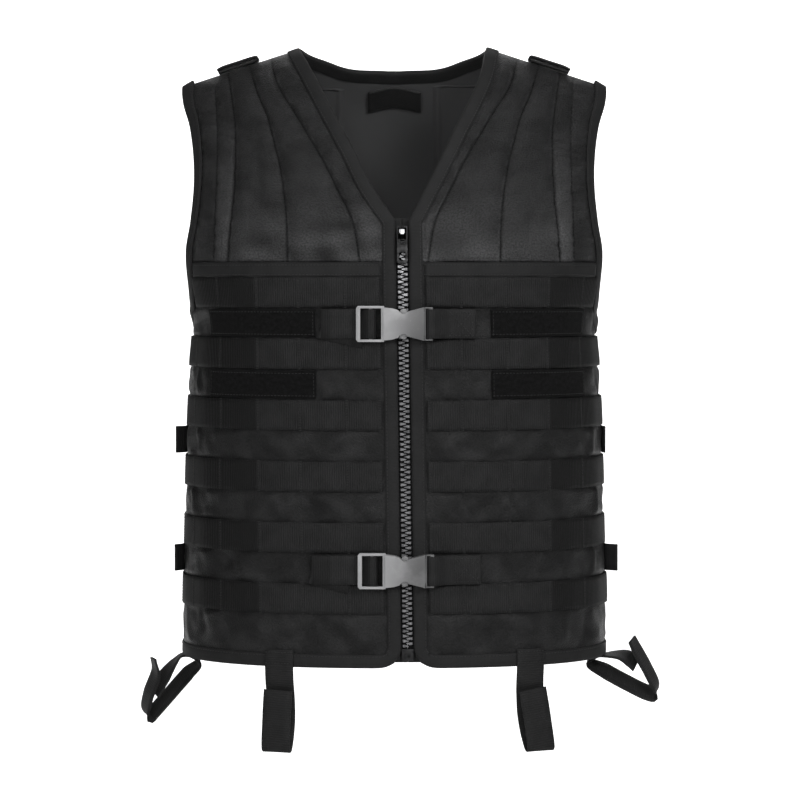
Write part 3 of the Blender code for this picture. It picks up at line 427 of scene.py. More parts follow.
LOOP_TAPE = fuzzy("loop_tape")
PLASTIC = moulded("buckle_plastic")
TEETH = plated("zip_teeth_metal", (0.10, 0.10, 0.105), (0.34, 0.34, 0.35), 0.30)
BLACKED = plated("black_plated_metal", grey(0.018), grey(0.05), 0.36)
SLIDER = plated("slider_metal", grey(0.018), grey(0.05), 0.36, eye=True, lug=True)
PULL = plated("pull_metal", grey(0.018), grey(0.05), 0.36, eye=True)
print("hard finishes ready")


# %% [markdown]
# ## The body that the vest is worn on
#
# Level sections of a chest are rounder than a box and squarer than an ellipse, which is a superellipse with
# a power of 2.3. Its half width and two depths change with height, read from a short table through a smooth
# curve. The levels tilt down toward the arms near the shoulders, so one grid runs from hem to shoulder seam.

# %% Tables of the body
def table(names, rows):
    """Named columns of numbers."""
    return dict(zip(names.split(), np.array(rows, float).T))


TORSO = table("height half_width front_depth back_depth", (
    (-498, 182, 112, 102), (-440, 181, 113, 100), (-390, 179.5, 113.5, 98.5), (-340, 178.5, 114, 98),
    (-290, 176.5, 115.5, 100), (-250, 174.5, 117, 103), (-214, 173, 118, 106.5), (-190, 180, 117.5, 108.5),
    (-162, 186.5, 116, 110), (-120, 184.3, 111, 110.5), (-80, 182.5, 101, 106), (-40, 183, 85, 95),
    (-10, 184.2, 67.5, 80), (14, 185.8, 50, 62), (32, 189, 33, 41), (42, 190, 19, 23), (46.5, 190, 8, 9),
))
ARMHOLE = table("height angle", (
    (-150, 68), (-120, 66.6), (-80, 65.8), (-40, 65.8), (0, 67.8), (20, 70), (46.5, 71),
))
NECK = table("height left right", (
    (-126, 1, 14), (-103, 16.4, 25), (-62, 35, 43), (-42, 44, 51), (-10, 57.7, 64), (20, 70, 74.5),
    (46.5, 82, 80),
))
BACK_NECK = table("height edge", ((6, 0), (14, 28), (32, 61), (42, 76), (46.5, 81)))
YOKE_SEAMS = table("height inner middle outer groove", (
    (-162, 28, 88, 138.5, 150.5), (-125, 35, 89, 136, 150), (-100, 46, 91, 134, 149.5),
    (-75, 56.5, 94, 133, 149), (-40, 72.5, 100.5, 133, 149), (-12, 85, 106.5, 134, 149.5),
    (14, 97, 115, 137, 151), (46.5, 106, 124, 142, 154),
))
HEM, SEAM, RIDGE = -498.0, -162.0, 46.5
ARMHOLE_BOTTOM, ARMHOLE_ROUND_TOP, ARMHOLE_SIDE = -214.0, -150.0, 68.0
V_BOTTOM, ZIP_TOP_X, ZIP_BOTTOM_X, HALF_OPENING = -126.0, 6.6, 11.6, 6.6
SHOULDER_SLOPE, TILT_START = 0.323, -170.0
POWER = 2.3
HALF_SEAM_GAP = 0.5
BACK_NECK_BOTTOM = 6.0
print("levels of the body", len(TORSO["height"]), "from", HEM, "to", RIDGE, "mm")


# %% Points of the body
def eased(t):
    """A smooth step from 0 to 1: three squares less two cubes."""
    return 3 * t**2 - 2 * t**3


def hermite(knots, values, slopes, places):
    """Cubic curve through values at knots, with the given slopes there."""
    i = np.clip(np.searchsorted(knots, places) - 1, 0, len(knots) - 2)
    w, t = knots[i + 1] - knots[i], places - knots[i]
    if values.ndim > 1:
        w, t = w[:, None], t[:, None]
    t = t / w
    low = (2 * t**3 - 3 * t**2 + 1) * values[i] + (t**3 - 2 * t**2 + t) * w * slopes[i]
    return low + eased(t) * values[i + 1] + (t**3 - t**2) * w * slopes[i + 1]


def smooth(columns, name, heights):
    """Smooth curve through a column of a table: the slope at each row is that of its neighbours."""
    x, y = columns["height"], columns[name]
    return hermite(x, y, np.gradient(y, x), np.clip(heights, x[0], x[-1]))


def tilt(heights):
    """Share of the shoulders' slope that a level has, eased in from the chest to the ridge."""
    return SHOULDER_SLOPE * eased(np.clip((heights - TILT_START) / (RIDGE - TILT_START), 0, 1))


def body(side, facing, angles, heights, closing=1.0):
    """Superellipse section: across = sin(angle)^(2/2.3) half widths, forward = cos(angle)^(2/2.3) depths."""
    angles, heights = np.broadcast_arrays(angles, heights)
    depth = smooth(TORSO, "front_depth" if facing == FRONT else "back_depth", heights) * closing
    sine, cosine = np.sin(angles), np.maximum(np.cos(angles), 0)
    across = np.sign(sine) * np.abs(sine) ** (2 / POWER) * smooth(TORSO, "half_width", heights)
    forward = cosine ** (2 / POWER) * depth
    spread = np.hypot(across, 6.0 * np.exp(-((across / 30.0) ** 2)))
    z = heights - tilt(heights) * spread
    return np.stack([side * across, facing * (forward + HALF_SEAM_GAP), z], axis=-1)


def angle_at(distance, heights):
    """The angle whose point lies this far from the middle."""
    share = np.clip(np.abs(distance) / smooth(TORSO, "half_width", heights), 0, 1)
    return np.sign(distance) * np.arcsin(share ** (POWER / 2))


def armhole_angle(heights):
    """Straight-sided opening with an elliptic bottom; below it the cloth runs to the side seam."""
    t = np.clip((ARMHOLE_ROUND_TOP - heights) / (ARMHOLE_ROUND_TOP - ARMHOLE_BOTTOM), 0, 1)
    low = ARMHOLE_SIDE + (90 - ARMHOLE_SIDE) * (1 - np.sqrt(1 - t**2))
    high = smooth(ARMHOLE, "angle", heights)
    return np.radians(np.where(heights >= ARMHOLE_ROUND_TOP, high, low))


def zip_x(heights):
    """The closure runs a little askew."""
    return np.interp(heights, (HEM, V_BOTTOM), (ZIP_BOTTOM_X, ZIP_TOP_X))


def inner_edge(side, facing, heights):
    """Distance of a cloth's inner edge from the middle, toward its own side."""
    if facing == BACK:
        return np.where(heights <= BACK_NECK_BOTTOM, 0.0, smooth(BACK_NECK, "edge", heights))
    low = side * zip_x(heights) + HALF_OPENING
    return np.where(heights <= V_BOTTOM, low, smooth(NECK, "left" if side < 0 else "right", heights))


def unit(vectors):
    """Vectors of length one."""
    return vectors / np.maximum(np.linalg.norm(vectors, axis=-1, keepdims=True), 1e-9)


print("chest", round(2 * float(smooth(TORSO, "half_width", np.array([-162.0]))[0])), "mm wide")


# %% [markdown]
# ## Cloth as a grid
#
# A piece of cloth is a grid: rows are heights, columns are distances along the cloth from its inner edge. The
# distances are measured on the curved section, not across it, because webbing and seams are sewn at even
# spacings on flat cloth, and crowd together where the body turns away. The UV map holds the same distances.

# %% Cloth grids
def sections(side, facing, heights, closing=1.0):
    """For each height: angles from the inner edge to the armhole or side seam, and the run to each."""
    share = np.linspace(0, 1, 240)
    start = angle_at(inner_edge(side, facing, heights), heights)[:, None]
    angles = start + (armhole_angle(heights)[:, None] - start) * share
    closing = np.broadcast_to(closing, heights.shape)[:, None]
    points = body(side, facing, angles, heights[:, None], closing)
    steps = np.linalg.norm(np.diff(points, axis=1), axis=2)
    return angles, np.concatenate([np.zeros((len(heights), 1)), np.cumsum(steps, axis=1)], axis=1)


def cloth_points(side, facing, heights, places, closing=1.0):
    """Points at the places, in millimetres of cloth from the inner edge, at each height."""
    angles, runs = sections(side, facing, heights, closing)
    chosen = np.stack([np.interp(p, r, a) for p, r, a in zip(places, runs, angles)])
    return body(side, facing, chosen, heights[:, None], np.broadcast_to(closing, heights.shape)[:, None])


def whole_width(side, facing, heights, columns, closing=1.0):
    """The cloth's length at each height, and places spread evenly over it."""
    length = sections(side, facing, heights, closing)[1][:, -1:]
    return length, np.linspace(0, 1, columns) * length


def facing_out(points, side, facing):
    """Unit normals of a grid: the cross product of its two gradients, turned outward."""
    normals = unit(np.cross(np.gradient(points, axis=0), np.gradient(points, axis=1)))
    outward = np.array([side * 0.3, facing, 0.0])
    return normals * np.sign((normals.reshape(-1, 3) @ outward).sum())


def strip_on(side, facing, heights, places, lift):
    """Points, UV and outward ways of a strip that lies over the smooth body, lifted by millimetres."""
    points = cloth_points(side, facing, heights, places)
    ways = facing_out(points, side, facing)
    return points + ways * lift[..., None], grid_uv(places, heights[:, None]), ways


def grid_uv(across, along):
    """The two distances at every point of a grid."""
    return np.stack(np.broadcast_arrays(across, along), axis=-1)


def put(name, points, uv, finish, outward=None, wrap=False, caps=False, node=None):
    """A mesh from a grid in millimetres. wrap joins the last column to the first, caps close its ends.

    Faces are turned toward outward where it is given, and away from the middle of a closed tube otherwise.
    """
    rows, columns = points.shape[:2]
    wide = columns if wrap else columns - 1
    i, j = np.meshgrid(np.arange(rows - 1), np.arange(wide), indexing="ij")
    corners = np.stack([np.stack([i + a, j + b], -1) for a, b in ((0, 0), (0, 1), (1, 1), (1, 0))], axis=2)
    corners = corners.reshape(-1, 4, 2)
    quads = corners[..., 0] * columns + corners[..., 1] % columns
    flat = points.reshape(-1, 3)
    face_ways = np.cross(flat[quads[:, 2]] - flat[quads[:, 0]], flat[quads[:, 3]] - flat[quads[:, 1]])
    if outward is None:
        axis = np.repeat(points.mean(axis=1)[:-1] + points.mean(axis=1)[1:], wide, axis=0) / 2
        ways = flat[quads].mean(axis=1) - axis
    else:
        ways = np.broadcast_to(outward, points.shape).reshape(-1, 3)[quads[:, 0]]
    turned = (face_ways * ways).sum() < 0
    if turned:
        corners, quads = corners[:, ::-1], quads[:, ::-1]
    faces = quads.tolist()
    if caps:
        ends = [list(range(columns)), list(range((rows - 1) * columns, rows * columns))]
        ends[1 if turned else 0].reverse()
        faces += ends
    mesh = bpy.data.meshes.new(name)
    mesh.from_pydata((flat * MM).tolist(), [], faces)
    layer = mesh.uv_layers.new(name="cloth")
    places = np.zeros((len(mesh.loops), 2))
    last = uv.shape[1] - 1
    places[: quads.size] = uv[corners[..., 0], np.minimum(corners[..., 1], last)].reshape(-1, 2) * MM
    layer.data.foreach_set("uv", places.ravel())
    mesh.shade_smooth()
    mesh.materials.append(finish)
    return placed(name, mesh, node=node)


def wall(piece, thickness, offset=-1.0):
    """Gives an open surface a thickness in millimetres, inward for -1 and outward for 1."""
    solid = piece.modifiers.new("wall", "SOLIDIFY")
    solid.thickness = thickness * MM
    solid.offset = offset
    solid.use_even_offset = False
    return piece


def lined(piece):
    """The wall's inner side gets the lining's finish."""
    piece.data.materials.append(LINING)
    piece.modifiers["wall"].material_offset = 1
    return piece


def waves(seed, count, low, high, u, v):
    """Gentle random relief from -1 to 1: a sum of sines with seeded directions, lengths and phases."""
    dice = np.random.default_rng(seed)
    turn = dice.uniform(0, 2 * np.pi, count)
    length = dice.uniform(low, high, count)
    phase = dice.uniform(0, 2 * np.pi, count)
    total = np.zeros(np.broadcast(u, v).shape)
    for a, l, p in zip(turn, length, phase):
        total = total + np.sin(2 * np.pi * (u * np.cos(a) + v * np.sin(a)) / l + p)
    return total / count**0.5


print("cloth run at row one", round(float(sections(1, FRONT, np.array([-187.1]))[1][0, -1])), "mm")


# %% [markdown]
# ## Folds and puckers
#
# Webbing that is sewn down every 38 mm draws the cloth together, so between two rows each little field swells
# and dents. A real one does this by itself. A simulation of the whole front takes longer than the rest of
# this file, so the relief is a sum of swellings, seeded waves and a few folds that are placed one by one.

# %% Relief of the fronts
ROW, PITCH, FIRST_ROW, ROWS = 24.8, 50.9, -187.1, 6
TACKS = np.array([12.0, 41.5, 79.5, 117.5, 155.5, 193.5, 231.5])
ROW_CENTRES = FIRST_ROW - PITCH * np.arange(ROWS)
FOLD_COLUMNS = "place height turn length width depth"
FOLD_GAIN = 1.4

FOLDS = {
    "left": table(FOLD_COLUMNS, (
        (52, -366, 35, 20, 6, 1.6), (78, -372, -30, 18, 6, -1.5), (104, -362, 50, 16, 6, 1.5),
        (60, -316, -25, 22, 7, 1.3), (112, -320, 30, 20, 7, -1.4), (140, -310, 70, 16, 6, 1.2),
        (40, -470, 40, 22, 8, 1.6), (85, -474, -35, 26, 8, -1.6), (120, -468, 25, 24, 8, 1.6),
        (160, -472, 75, 20, 7, 1.5), (180, -466, 85, 18, 5, -1.5), (70, -264, 15, 22, 7, 1.0),
        (50, -416, 20, 22, 7, -1.2), (95, -420, -25, 20, 6, 1.3), (150, -414, 60, 18, 6, -1.3),
        (188, -310, 88, 20, 4, 1.4), (196, -364, 88, 20, 4, 1.4), (190, -260, 88, 18, 4, 1.2),
    )),
    "right": table(FOLD_COLUMNS, (
        (30, -313, 30, 18, 6, 1.5), (52, -318, -20, 24, 6, -1.5), (80, -312, 25, 18, 6, 1.3),
        (40, -362, -60, 20, 6, 1.5), (62, -366, 35, 18, 7, -1.8), (82, -364, -50, 18, 7, 1.6),
        (108, -362, 40, 18, 7, -1.4), (44, -414, 20, 22, 7, 1.2), (84, -416, -50, 20, 7, -1.5),
        (110, -412, 60, 18, 6, 1.4), (36, -468, -35, 24, 8, 1.6), (64, -474, 40, 20, 8, -1.8),
        (96, -466, -20, 26, 8, 1.4), (130, -472, 80, 20, 6, 1.5), (160, -464, 85, 20, 5, -1.4),
        (172, -310, 88, 20, 4, 1.4), (178, -364, 88, 20, 4, 1.5), (170, -416, 88, 20, 4, 1.4),
    )),
}


def folds(columns, places, heights):
    """Each fold is a ridge or dent: a bell across its width, a longer bell along its turned direction."""
    total = np.zeros(np.broadcast(places, heights).shape)
    for p, h, turn, length, width, depth in zip(*columns.values()):
        a = np.radians(turn)
        along = (places - p) * np.cos(a) + (heights - h) * np.sin(a)
        across = (heights - h) * np.cos(a) - (places - p) * np.sin(a)
        total = total + depth * np.exp(-((along / length) ** 2) - (across / width) ** 2)
    return total


def gap_share(heights):
    """0 on a webbing row, 1 in the middle of the gaps between rows and below the last one."""
    distance = np.abs(heights[..., None] - ROW_CENTRES).min(axis=-1)
    free = eased(np.clip((distance - ROW / 2 + 1.0) / 6.0, 0, 1))
    return free * np.clip((SEAM - 12.5 - heights) / 3.0, 0, 1) * np.clip((heights - HEM - 10) / 5, 0, 1)


def field_swell(places):
    """Between two tacks the cloth swells: the square of a half wave over each span."""
    k = np.clip(np.searchsorted(TACKS, places) - 1, 0, len(TACKS) - 2)
    t = np.clip((places - TACKS[k]) / (TACKS[k + 1] - TACKS[k]), 0, 1)
    return np.sin(np.pi * t) ** 2


PRESSED_COLUMNS = "first last low high"
PRESSED = {
    "left": table(PRESSED_COLUMNS, (
        (66.5, 168, -224, -200), (66.5, 168, -275, -251), (0, 64, -236, -200), (0, 80, -440, -404),
    )),
    "right": table(PRESSED_COLUMNS, (
        (66.5, 160, -224, -200), (66.5, 160, -275, -251), (0, 64, -226, -200), (0, 66, -430, -404),
    )),
}


def pressed(word, places, heights):
    """1 where a patch or a strap lies on the cloth, falling to 0 within a few millimetres round it."""
    total = np.zeros(np.broadcast(places, heights).shape)
    for first, last, low, high in zip(*PRESSED[word].values()):
        beside = np.maximum(first - places, places - last)
        away = np.maximum(beside, np.maximum(low - heights, heights - high))
        total = np.maximum(total, 1 - np.clip(away / 7.0, 0, 1))
    return eased(total)


def front_relief(word, places, heights):
    """Millimetres that the front cloth stands off the smooth body."""
    seed = 11 if word == "left" else 23
    gap = gap_share(heights)
    lumps = waves(seed, 9, 26, 60, places, heights)
    small = waves(seed + 1, 9, 12, 24, places, heights)
    swell = gap * (0.35 + 0.7 * field_swell(places) + 0.85 * lumps + 0.4 * small)
    swell = swell + gap * FOLD_GAIN * folds(FOLDS[word], places, heights)
    return np.clip((places - 12) / 8, 0, 1) * swell * (1 - pressed(word, places, heights))


print("folds", sum(len(f["place"]) for f in FOLDS.values()))


# %% [markdown]
# ## The fronts and the back
#
# Each front is one panel of nylon from the chest seam to the hem, three millimetres thick with its lining.
# The grid is fine enough for a fold of a few millimetres. The wall is a Solidify modifier over the finished
# surface, since a grid of outside and inside points would say the same thing twice.

# %% Fronts
PANEL_WALL = 3.0
HEM_RISE, RISE_WIDE, RISE_TALL = 6.0, 9.0, 14.0
SEWN_GAP = 0.05


def close_seam(points, facing):
    """The edges on the middle plane meet there: front and back are sewn together with no slit."""
    near = np.abs(points[..., 1]) < HALF_SEAM_GAP + 0.1
    points[near, 1] = facing * SEWN_GAP
    return points


def front_grid(side, word, rows=210, columns=140):
    """Heights, places and points of a front, with its relief, and rising a little at the hem's corner."""
    heights = np.linspace(HEM, SEAM - SEWN_GAP, rows)
    places = whole_width(side, FRONT, heights, columns)[1]
    points = cloth_points(side, FRONT, heights, places)
    lift = front_relief(word, places, heights[:, None])
    points = points + facing_out(points, side, FRONT) * lift[..., None]
    above = (heights[:, None] - HEM) / RISE_TALL
    points[..., 2] += HEM_RISE * np.exp(-((places / RISE_WIDE) ** 2)) * np.exp(-(above**2))
    return heights, places, close_seam(points, FRONT)


FRONTS = {}
for side, word in SIDES:
    FRONTS[word] = heights, places, points = front_grid(side, word)
    node = "front_panel_" + word
    piece = put(node + "_cloth", points, grid_uv(places, heights[:, None]), NYLON,
                facing_out(points, side, FRONT), node=node)
    lined(wall(piece, PANEL_WALL))
print("front points", FRONTS["left"][2].shape)

# %% Back
BACK_ROWS_TOP = -226.0
WELD = 0.00001
BACK_FOLDS = table(FOLD_COLUMNS, (
    (40, -60, 70, 60, 10, 0.9), (90, -80, 80, 70, 12, -0.9), (130, -100, 65, 50, 9, 0.8),
    (60, -140, 20, 50, 9, -0.8), (150, -60, 85, 50, 8, 0.8), (20, -20, 30, 40, 9, 0.7),
    (120, -20, 60, 40, 9, 0.8), (170, -270, 80, 24, 5, 1.2), (180, -330, 85, 22, 5, 1.2),
))


def back_relief(places, heights):
    """The back has rows of webbing from the second one down, and broad soft folds above them."""
    out = np.abs(places)
    low = np.clip((BACK_ROWS_TOP - heights) / 6.0, 0, 1)
    swell = 0.3 + 0.5 * field_swell(out) + 0.6 * waves(31, 9, 26, 60, places, heights)
    broad = 0.9 * waves(32, 8, 70, 160, places, heights * 0.6) + folds(BACK_FOLDS, out, heights)
    edge = np.clip((heights - HEM - 8) / 12, 0, 1) * np.clip((8 - heights) / 16, 0, 1)
    edge = edge * np.clip((165 - out) / 20 + (heights > BACK_ROWS_TOP), 0, 1)
    return edge * (low * gap_share(heights) * swell + (1 - low) * broad * 0.8)


def half_back(side, rows=210, columns=100):
    """One half of the back, from the hem over the shoulder blade to the shoulder seam."""
    heights = np.concatenate([np.linspace(HEM, RIDGE, rows), np.full(4, RIDGE)])
    closing = np.concatenate([np.ones(rows), [0.75, 0.5, 0.25, 0.0]])
    length, places = whole_width(side, BACK, heights, columns, closing)
    points = cloth_points(side, BACK, heights, places, closing)
    together = heights <= BACK_NECK_BOTTOM
    points[together, 0, 0] = 0.0
    edge = np.clip((length - places) / 12, 0, 1) * np.clip(places / 12 + together[:, None], 0, 1)
    lift = back_relief(places * side, heights[:, None]) * edge * closing[:, None]
    points = points + facing_out(points, side, BACK) * lift[..., None]
    points[together, 0, 0] = 0.0
    return heights, places, close_seam(points, BACK)


BACK_HALVES = {word: half_back(side) for side, word in SIDES}


def join_halves():
    """Both halves as one mesh, welded down the middle, where the neck leaves them together."""
    pieces = []
    for side, word in SIDES:
        heights, places, points = BACK_HALVES[word]
        uv = grid_uv(places * side, heights[:, None])
        pieces.append(put("back_half_" + word, points, uv, NYLON, facing_out(points, side, BACK)))
    whole = pieces[0]
    reworked([piece.data for piece in pieces], whole.data,
             lambda shape: bmesh.ops.remove_doubles(shape, verts=shape.verts, dist=WELD))
    whole.data.shade_smooth()
    bpy.data.objects.remove(pieces[1])
    whole.name = "back_panel_cloth"
    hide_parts("back_panel")
    return whole


back_cloth = lined(wall(join_halves(), PANEL_WALL))
print("back vertices", len(back_cloth.data.vertices))


# %% [markdown]
# ## Quilted yokes
#
# Foam lies between two layers of cloth over the shoulders, and stitched channels hold it. The cloth bulges
# between two seams and pinches at them. Pressure in a simulated cloth gives that bulge, but it also pulls the
# thin shell off the seams. The bulge is known anyway: it is flat-topped between the seams and steep beside
# them, which is one minus a power. Small waves along the seams are the gathers of the sewing.

# %% Yokes
YOKE_WALL, PUFF = 5.0, 3.4
INNER_BAND, OUTER_BAND = 11.5, 9.5
SEAM_NAMES = ("inner", "middle", "outer", "groove")
CHANNELS = ((0.75, 3.0), (1.0, 3.0), (1.0, 3.0), (0.62, 2.4), (0.55, 2.4))
YOKE_FOLDS = {
    "left": table(FOLD_COLUMNS, (
        (60, -30, -62, 26, 5, -0.9), (82, -20, -60, 18, 4, 0.8), (112, -70, 88, 40, 5, -0.9),
        (70, -130, 80, 26, 7, 0.9), (112, -146, 86, 16, 5, 0.7), (96, -140, 84, 14, 5, -0.6),
        (158, -60, 84, 50, 4, -0.8), (50, -146, 70, 14, 4, 0.9), (126, -90, 86, 36, 4, 0.8),
    )),
    "right": table(FOLD_COLUMNS, (
        (66, -108, -54, 18, 4.5, -1.8), (74, -116, -54, 18, 5, 1.2), (50, -140, 72, 18, 5, 1.2),
        (92, -132, 86, 26, 7, 0.9), (112, -136, 84, 22, 5, -0.9), (124, -110, 86, 30, 4, 0.8),
        (158, -70, 84, 50, 4, -0.8), (84, -60, 60, 24, 5, 0.8), (142, -120, 88, 26, 4, -0.8),
    )),
}


def seam_lines(heights, first, last):
    """Distances from the middle of the channel edges at each height, from inner band to armhole band."""
    lines = [first] + [smooth(YOKE_SEAMS, n, heights) for n in SEAM_NAMES] + [last]
    lines[1] = np.maximum(lines[1], first + 3.0)
    return np.maximum.accumulate(np.stack(lines, axis=1), axis=1)


def channel_puff(across, lines):
    """One minus a power of the place between two seams, times the channel's share of the height."""
    total = np.zeros(across.shape)
    for k, (share, power) in enumerate(CHANNELS):
        low, high = lines[:, k : k + 1], lines[:, k + 1 : k + 2]
        width = np.maximum(high - low, 1.0)
        t = (across - low) / width
        tall = share * np.clip(width / 14.0, 0.25, 1.0)
        total = np.where((t >= 0) & (t < 1), tall * (1 - np.abs(2 * t - 1) ** power), total)
    return total


def yoke_grid(side, word, rows=150, columns=190):
    """Heights, places and points of a yoke with its channels, and their distances from the middle."""
    heights = np.concatenate([np.linspace(SEAM + SEWN_GAP, RIDGE, rows), np.full(3, RIDGE)])
    closing = np.concatenate([np.ones(rows), [0.66, 0.33, 0.0]])
    length, places = whole_width(side, FRONT, heights, columns, closing)
    points = cloth_points(side, FRONT, heights, places, closing)
    across = points[..., 0] * side
    first, last = (np.stack([np.interp(at, p, a) for at, p, a in zip(ends, places, across)])
                   for ends in (np.full(len(heights), INNER_BAND), length[:, 0] - OUTER_BAND))
    lines = seam_lines(heights, first, last)
    high = heights[:, None]
    fade = 1 - np.exp(-(high - SEAM - SEWN_GAP) / 5.0)
    fade = fade * np.clip((RIDGE - high) / 16.0, 0, 1) ** 0.5
    puff = channel_puff(across, lines)
    near = np.clip(puff, 0, 1)
    gathers = 0.5 * waves(41 + side, 8, 7, 14, places * 0.35, high) * (1 - near) * (near > 0.02)
    soft = 0.55 * waves(43 + side, 8, 30, 80, places, high * 0.6) + folds(YOKE_FOLDS[word], across, high)
    lift = fade * (puff * PUFF + gathers + soft * near)
    points = points + facing_out(points, side, FRONT) * lift[..., None]
    return heights, places, close_seam(points, FRONT), across, lines


def yoke_gleam(side, high, across, lines):
    """Painted highlight above 0: low on the yoke, on the groove strip, beside seams. Painted shade below 0: in
    seams.
    """
    outer, groove = lines[:, 3:4], lines[:, 4:5]
    low = np.clip((-70.0 - high) / 85.0, 0, 1) ** 1.6
    cloudy = 0.6 + 0.4 * waves(71 + side, 9, 18, 60, across, high)
    # Painted highlight, low on the yoke and on the strip by the groove.
    painted_sheen_and_wear = low * np.clip((groove - across) / 10.0, 0, 1) * cloudy * (0.9 if side > 0 else 0.7)
    strip = np.clip((across - outer) / 2.5, 0, 1) * np.clip((groove - across) / 2.5, 0, 1)
    total = painted_sheen_and_wear + strip * np.clip((-20.0 - high) / 50.0, 0, 1) * 0.4
    # Painted highlight just beside each seam, painted shade in it.
    for k in (1, 2, 3):
        off = across - lines[:, k : k + 1]
        pinch = np.clip(0.5 + waves(81 + 5 * k + side, 6, 8, 40, high, 0 * across), 0, 1)
        total = total + np.exp(-(((off + 1.6) / 0.8) ** 2)) * pinch * 0.35
        total = total - np.exp(-((off / 0.9) ** 2)) * 0.9
    return np.clip(total, -0.9, 1.0)


YOKES = {}
for side, word in SIDES:
    YOKES[word] = heights, places, points, across, lines = yoke_grid(side, word)
    node = "front_yoke_" + word
    made = put(node + "_padding", points, grid_uv(places, heights[:, None]), PADDING,
               facing_out(points, side, FRONT), node=node)
    # The attribute gleam carries the padding's painted highlight and painted shade.
    gleam = made.data.attributes.new("gleam", "FLOAT", "POINT")
    painted_light_and_roughness = yoke_gleam(side, heights[:, None], across, lines)
    gleam.data.foreach_set("value", painted_light_and_roughness.astype(np.float32).ravel())
    lined(wall(made, YOKE_WALL))
print("yoke points", YOKES["left"][2].shape)


# %% [markdown]
# ## Bindings
#
# Every raw edge of the vest is wrapped in a folded tape. It is one profile, a narrow U, carried along an edge.
# Its frame at each station comes from the cloth: the edge's own direction, the cloth's normal, and the way
# into the cloth, which is square to both. A swept curve object would twist at the corners of the hem.

# %% Profiles along paths
def columns_at(places, knots, field):
    """Each column of a field, read at places between its knots."""
    return np.stack([np.interp(places, knots, column) for column in field.T], axis=1)


def run_along(points):
    """The distance walked to each point of a path."""
    return np.concatenate([[0], np.cumsum(np.linalg.norm(np.diff(points, axis=0), axis=1))])


def even_path(points, step, *fields):
    """The path and its fields again, at stations of about equal spacing."""
    run = run_along(points)
    stations = np.linspace(0, run[-1], max(3, int(run[-1] / step) + 1))
    return stations, [columns_at(stations, run, field) for field in (points, *fields)]


def squared(ways, along):
    """Ways made square to a path's direction, and of length one."""
    return unit(ways - along * (ways * along).sum(axis=1, keepdims=True))


def evened(values, reach):
    """A running mean over a few neighbours at each side, with the ends held."""
    kernel = np.ones(2 * reach + 1) / (2 * reach + 1)
    return np.convolve(np.pad(values, reach, mode="edge"), kernel, mode="valid")


def carried(profile, centres, across, up):
    """Each profile point (a, b) lies at centre + a across + b up, at every station."""
    a, b = profile[..., 0], profile[..., 1]
    return centres[:, None] + a[..., None] * across[:, None] + b[..., None] * up[:, None]


BINDING_WIDTH, BINDING_STATION, GIRTH_STEP = 10.0, 2.5, 2.4
THREAD_IN, THREAD_OUT = 8.3, 1.42


def fold_profile(width, thickness):
    """A closed U round an edge at a = 0. b is 0 at the outer face and -thickness at the inner one."""
    t = np.asarray(thickness, float)[:, None]
    outer = np.array([(width, 0.35), (width, 0.95), (width - 0.7, 1.35), (5, 1.5), (1.2, 1.45),
                      (-0.6, 1.15), (-1.3, 0.3)])
    inner = np.array([(-1.3, -0.3), (-0.6, -1.15), (1.2, -1.45), (width - 0.7, -1.35), (width, -0.95),
                      (width, -0.35), (0.3, -0.35)])
    shape = np.concatenate([outer, inner, [(0.3, 0.35)]])
    lower = np.concatenate([np.zeros(len(outer)), np.ones(len(inner)), [0.0]])
    return np.stack([np.broadcast_to(shape[:, 0], (len(t), len(shape))), shape[:, 1] - lower * t], axis=-1)


def binding(name, node, edge, normals, inward, thickness, closed=False):
    """A folded tape along an edge. inward only has to point roughly into the cloth. Gives its seam's line."""
    run, (path, up, into, thick) = even_path(edge, BINDING_STATION, normals, inward, thickness[:, None])
    along = unit(np.gradient(path, axis=0))
    if closed:
        along[0] = along[-1] = unit(along[1] + along[-2])
    up = squared(up, along)
    across = unit(np.cross(along, up))
    across = across * np.sign((across * into).sum(axis=1, keepdims=True))
    profile = fold_profile(BINDING_WIDTH, thick[:, 0])
    points = carried(profile, path, across, up)
    uv = grid_uv(run[:, None], np.arange(profile.shape[1] + 1) * GIRTH_STEP)
    put(name, points, uv, BINDING, wrap=True, caps=not closed, node=node)
    return path + across * THREAD_IN + up * THREAD_OUT, up


def smooth_normals(side, facing, points, heights):
    """Normals of the smooth body at edge points, found by small steps over its surface."""
    heights = np.broadcast_to(heights, len(points))
    angles = angle_at(points[:, 0] * side, heights)
    step_a = body(side, facing, angles + 0.01, heights) - body(side, facing, angles - 0.01, heights)
    step_h = body(side, facing, angles, heights + 1.0) - body(side, facing, angles, heights - 1.0)
    normals = unit(np.cross(step_a, step_h))
    return normals * np.sign(normals @ (side * 0.3, facing, 0.25))[:, None]


def edge_of(*parts):
    """Points, normals and thickness of an edge, from parts of side, facing, points, heights, thickness."""
    return (np.concatenate([part[2] for part in parts]),
            np.concatenate([smooth_normals(*part[:4]) for part in parts]),
            np.concatenate([np.full(len(part[2]), part[4]) for part in parts]))


print("binding", BINDING_WIDTH, "mm wide")

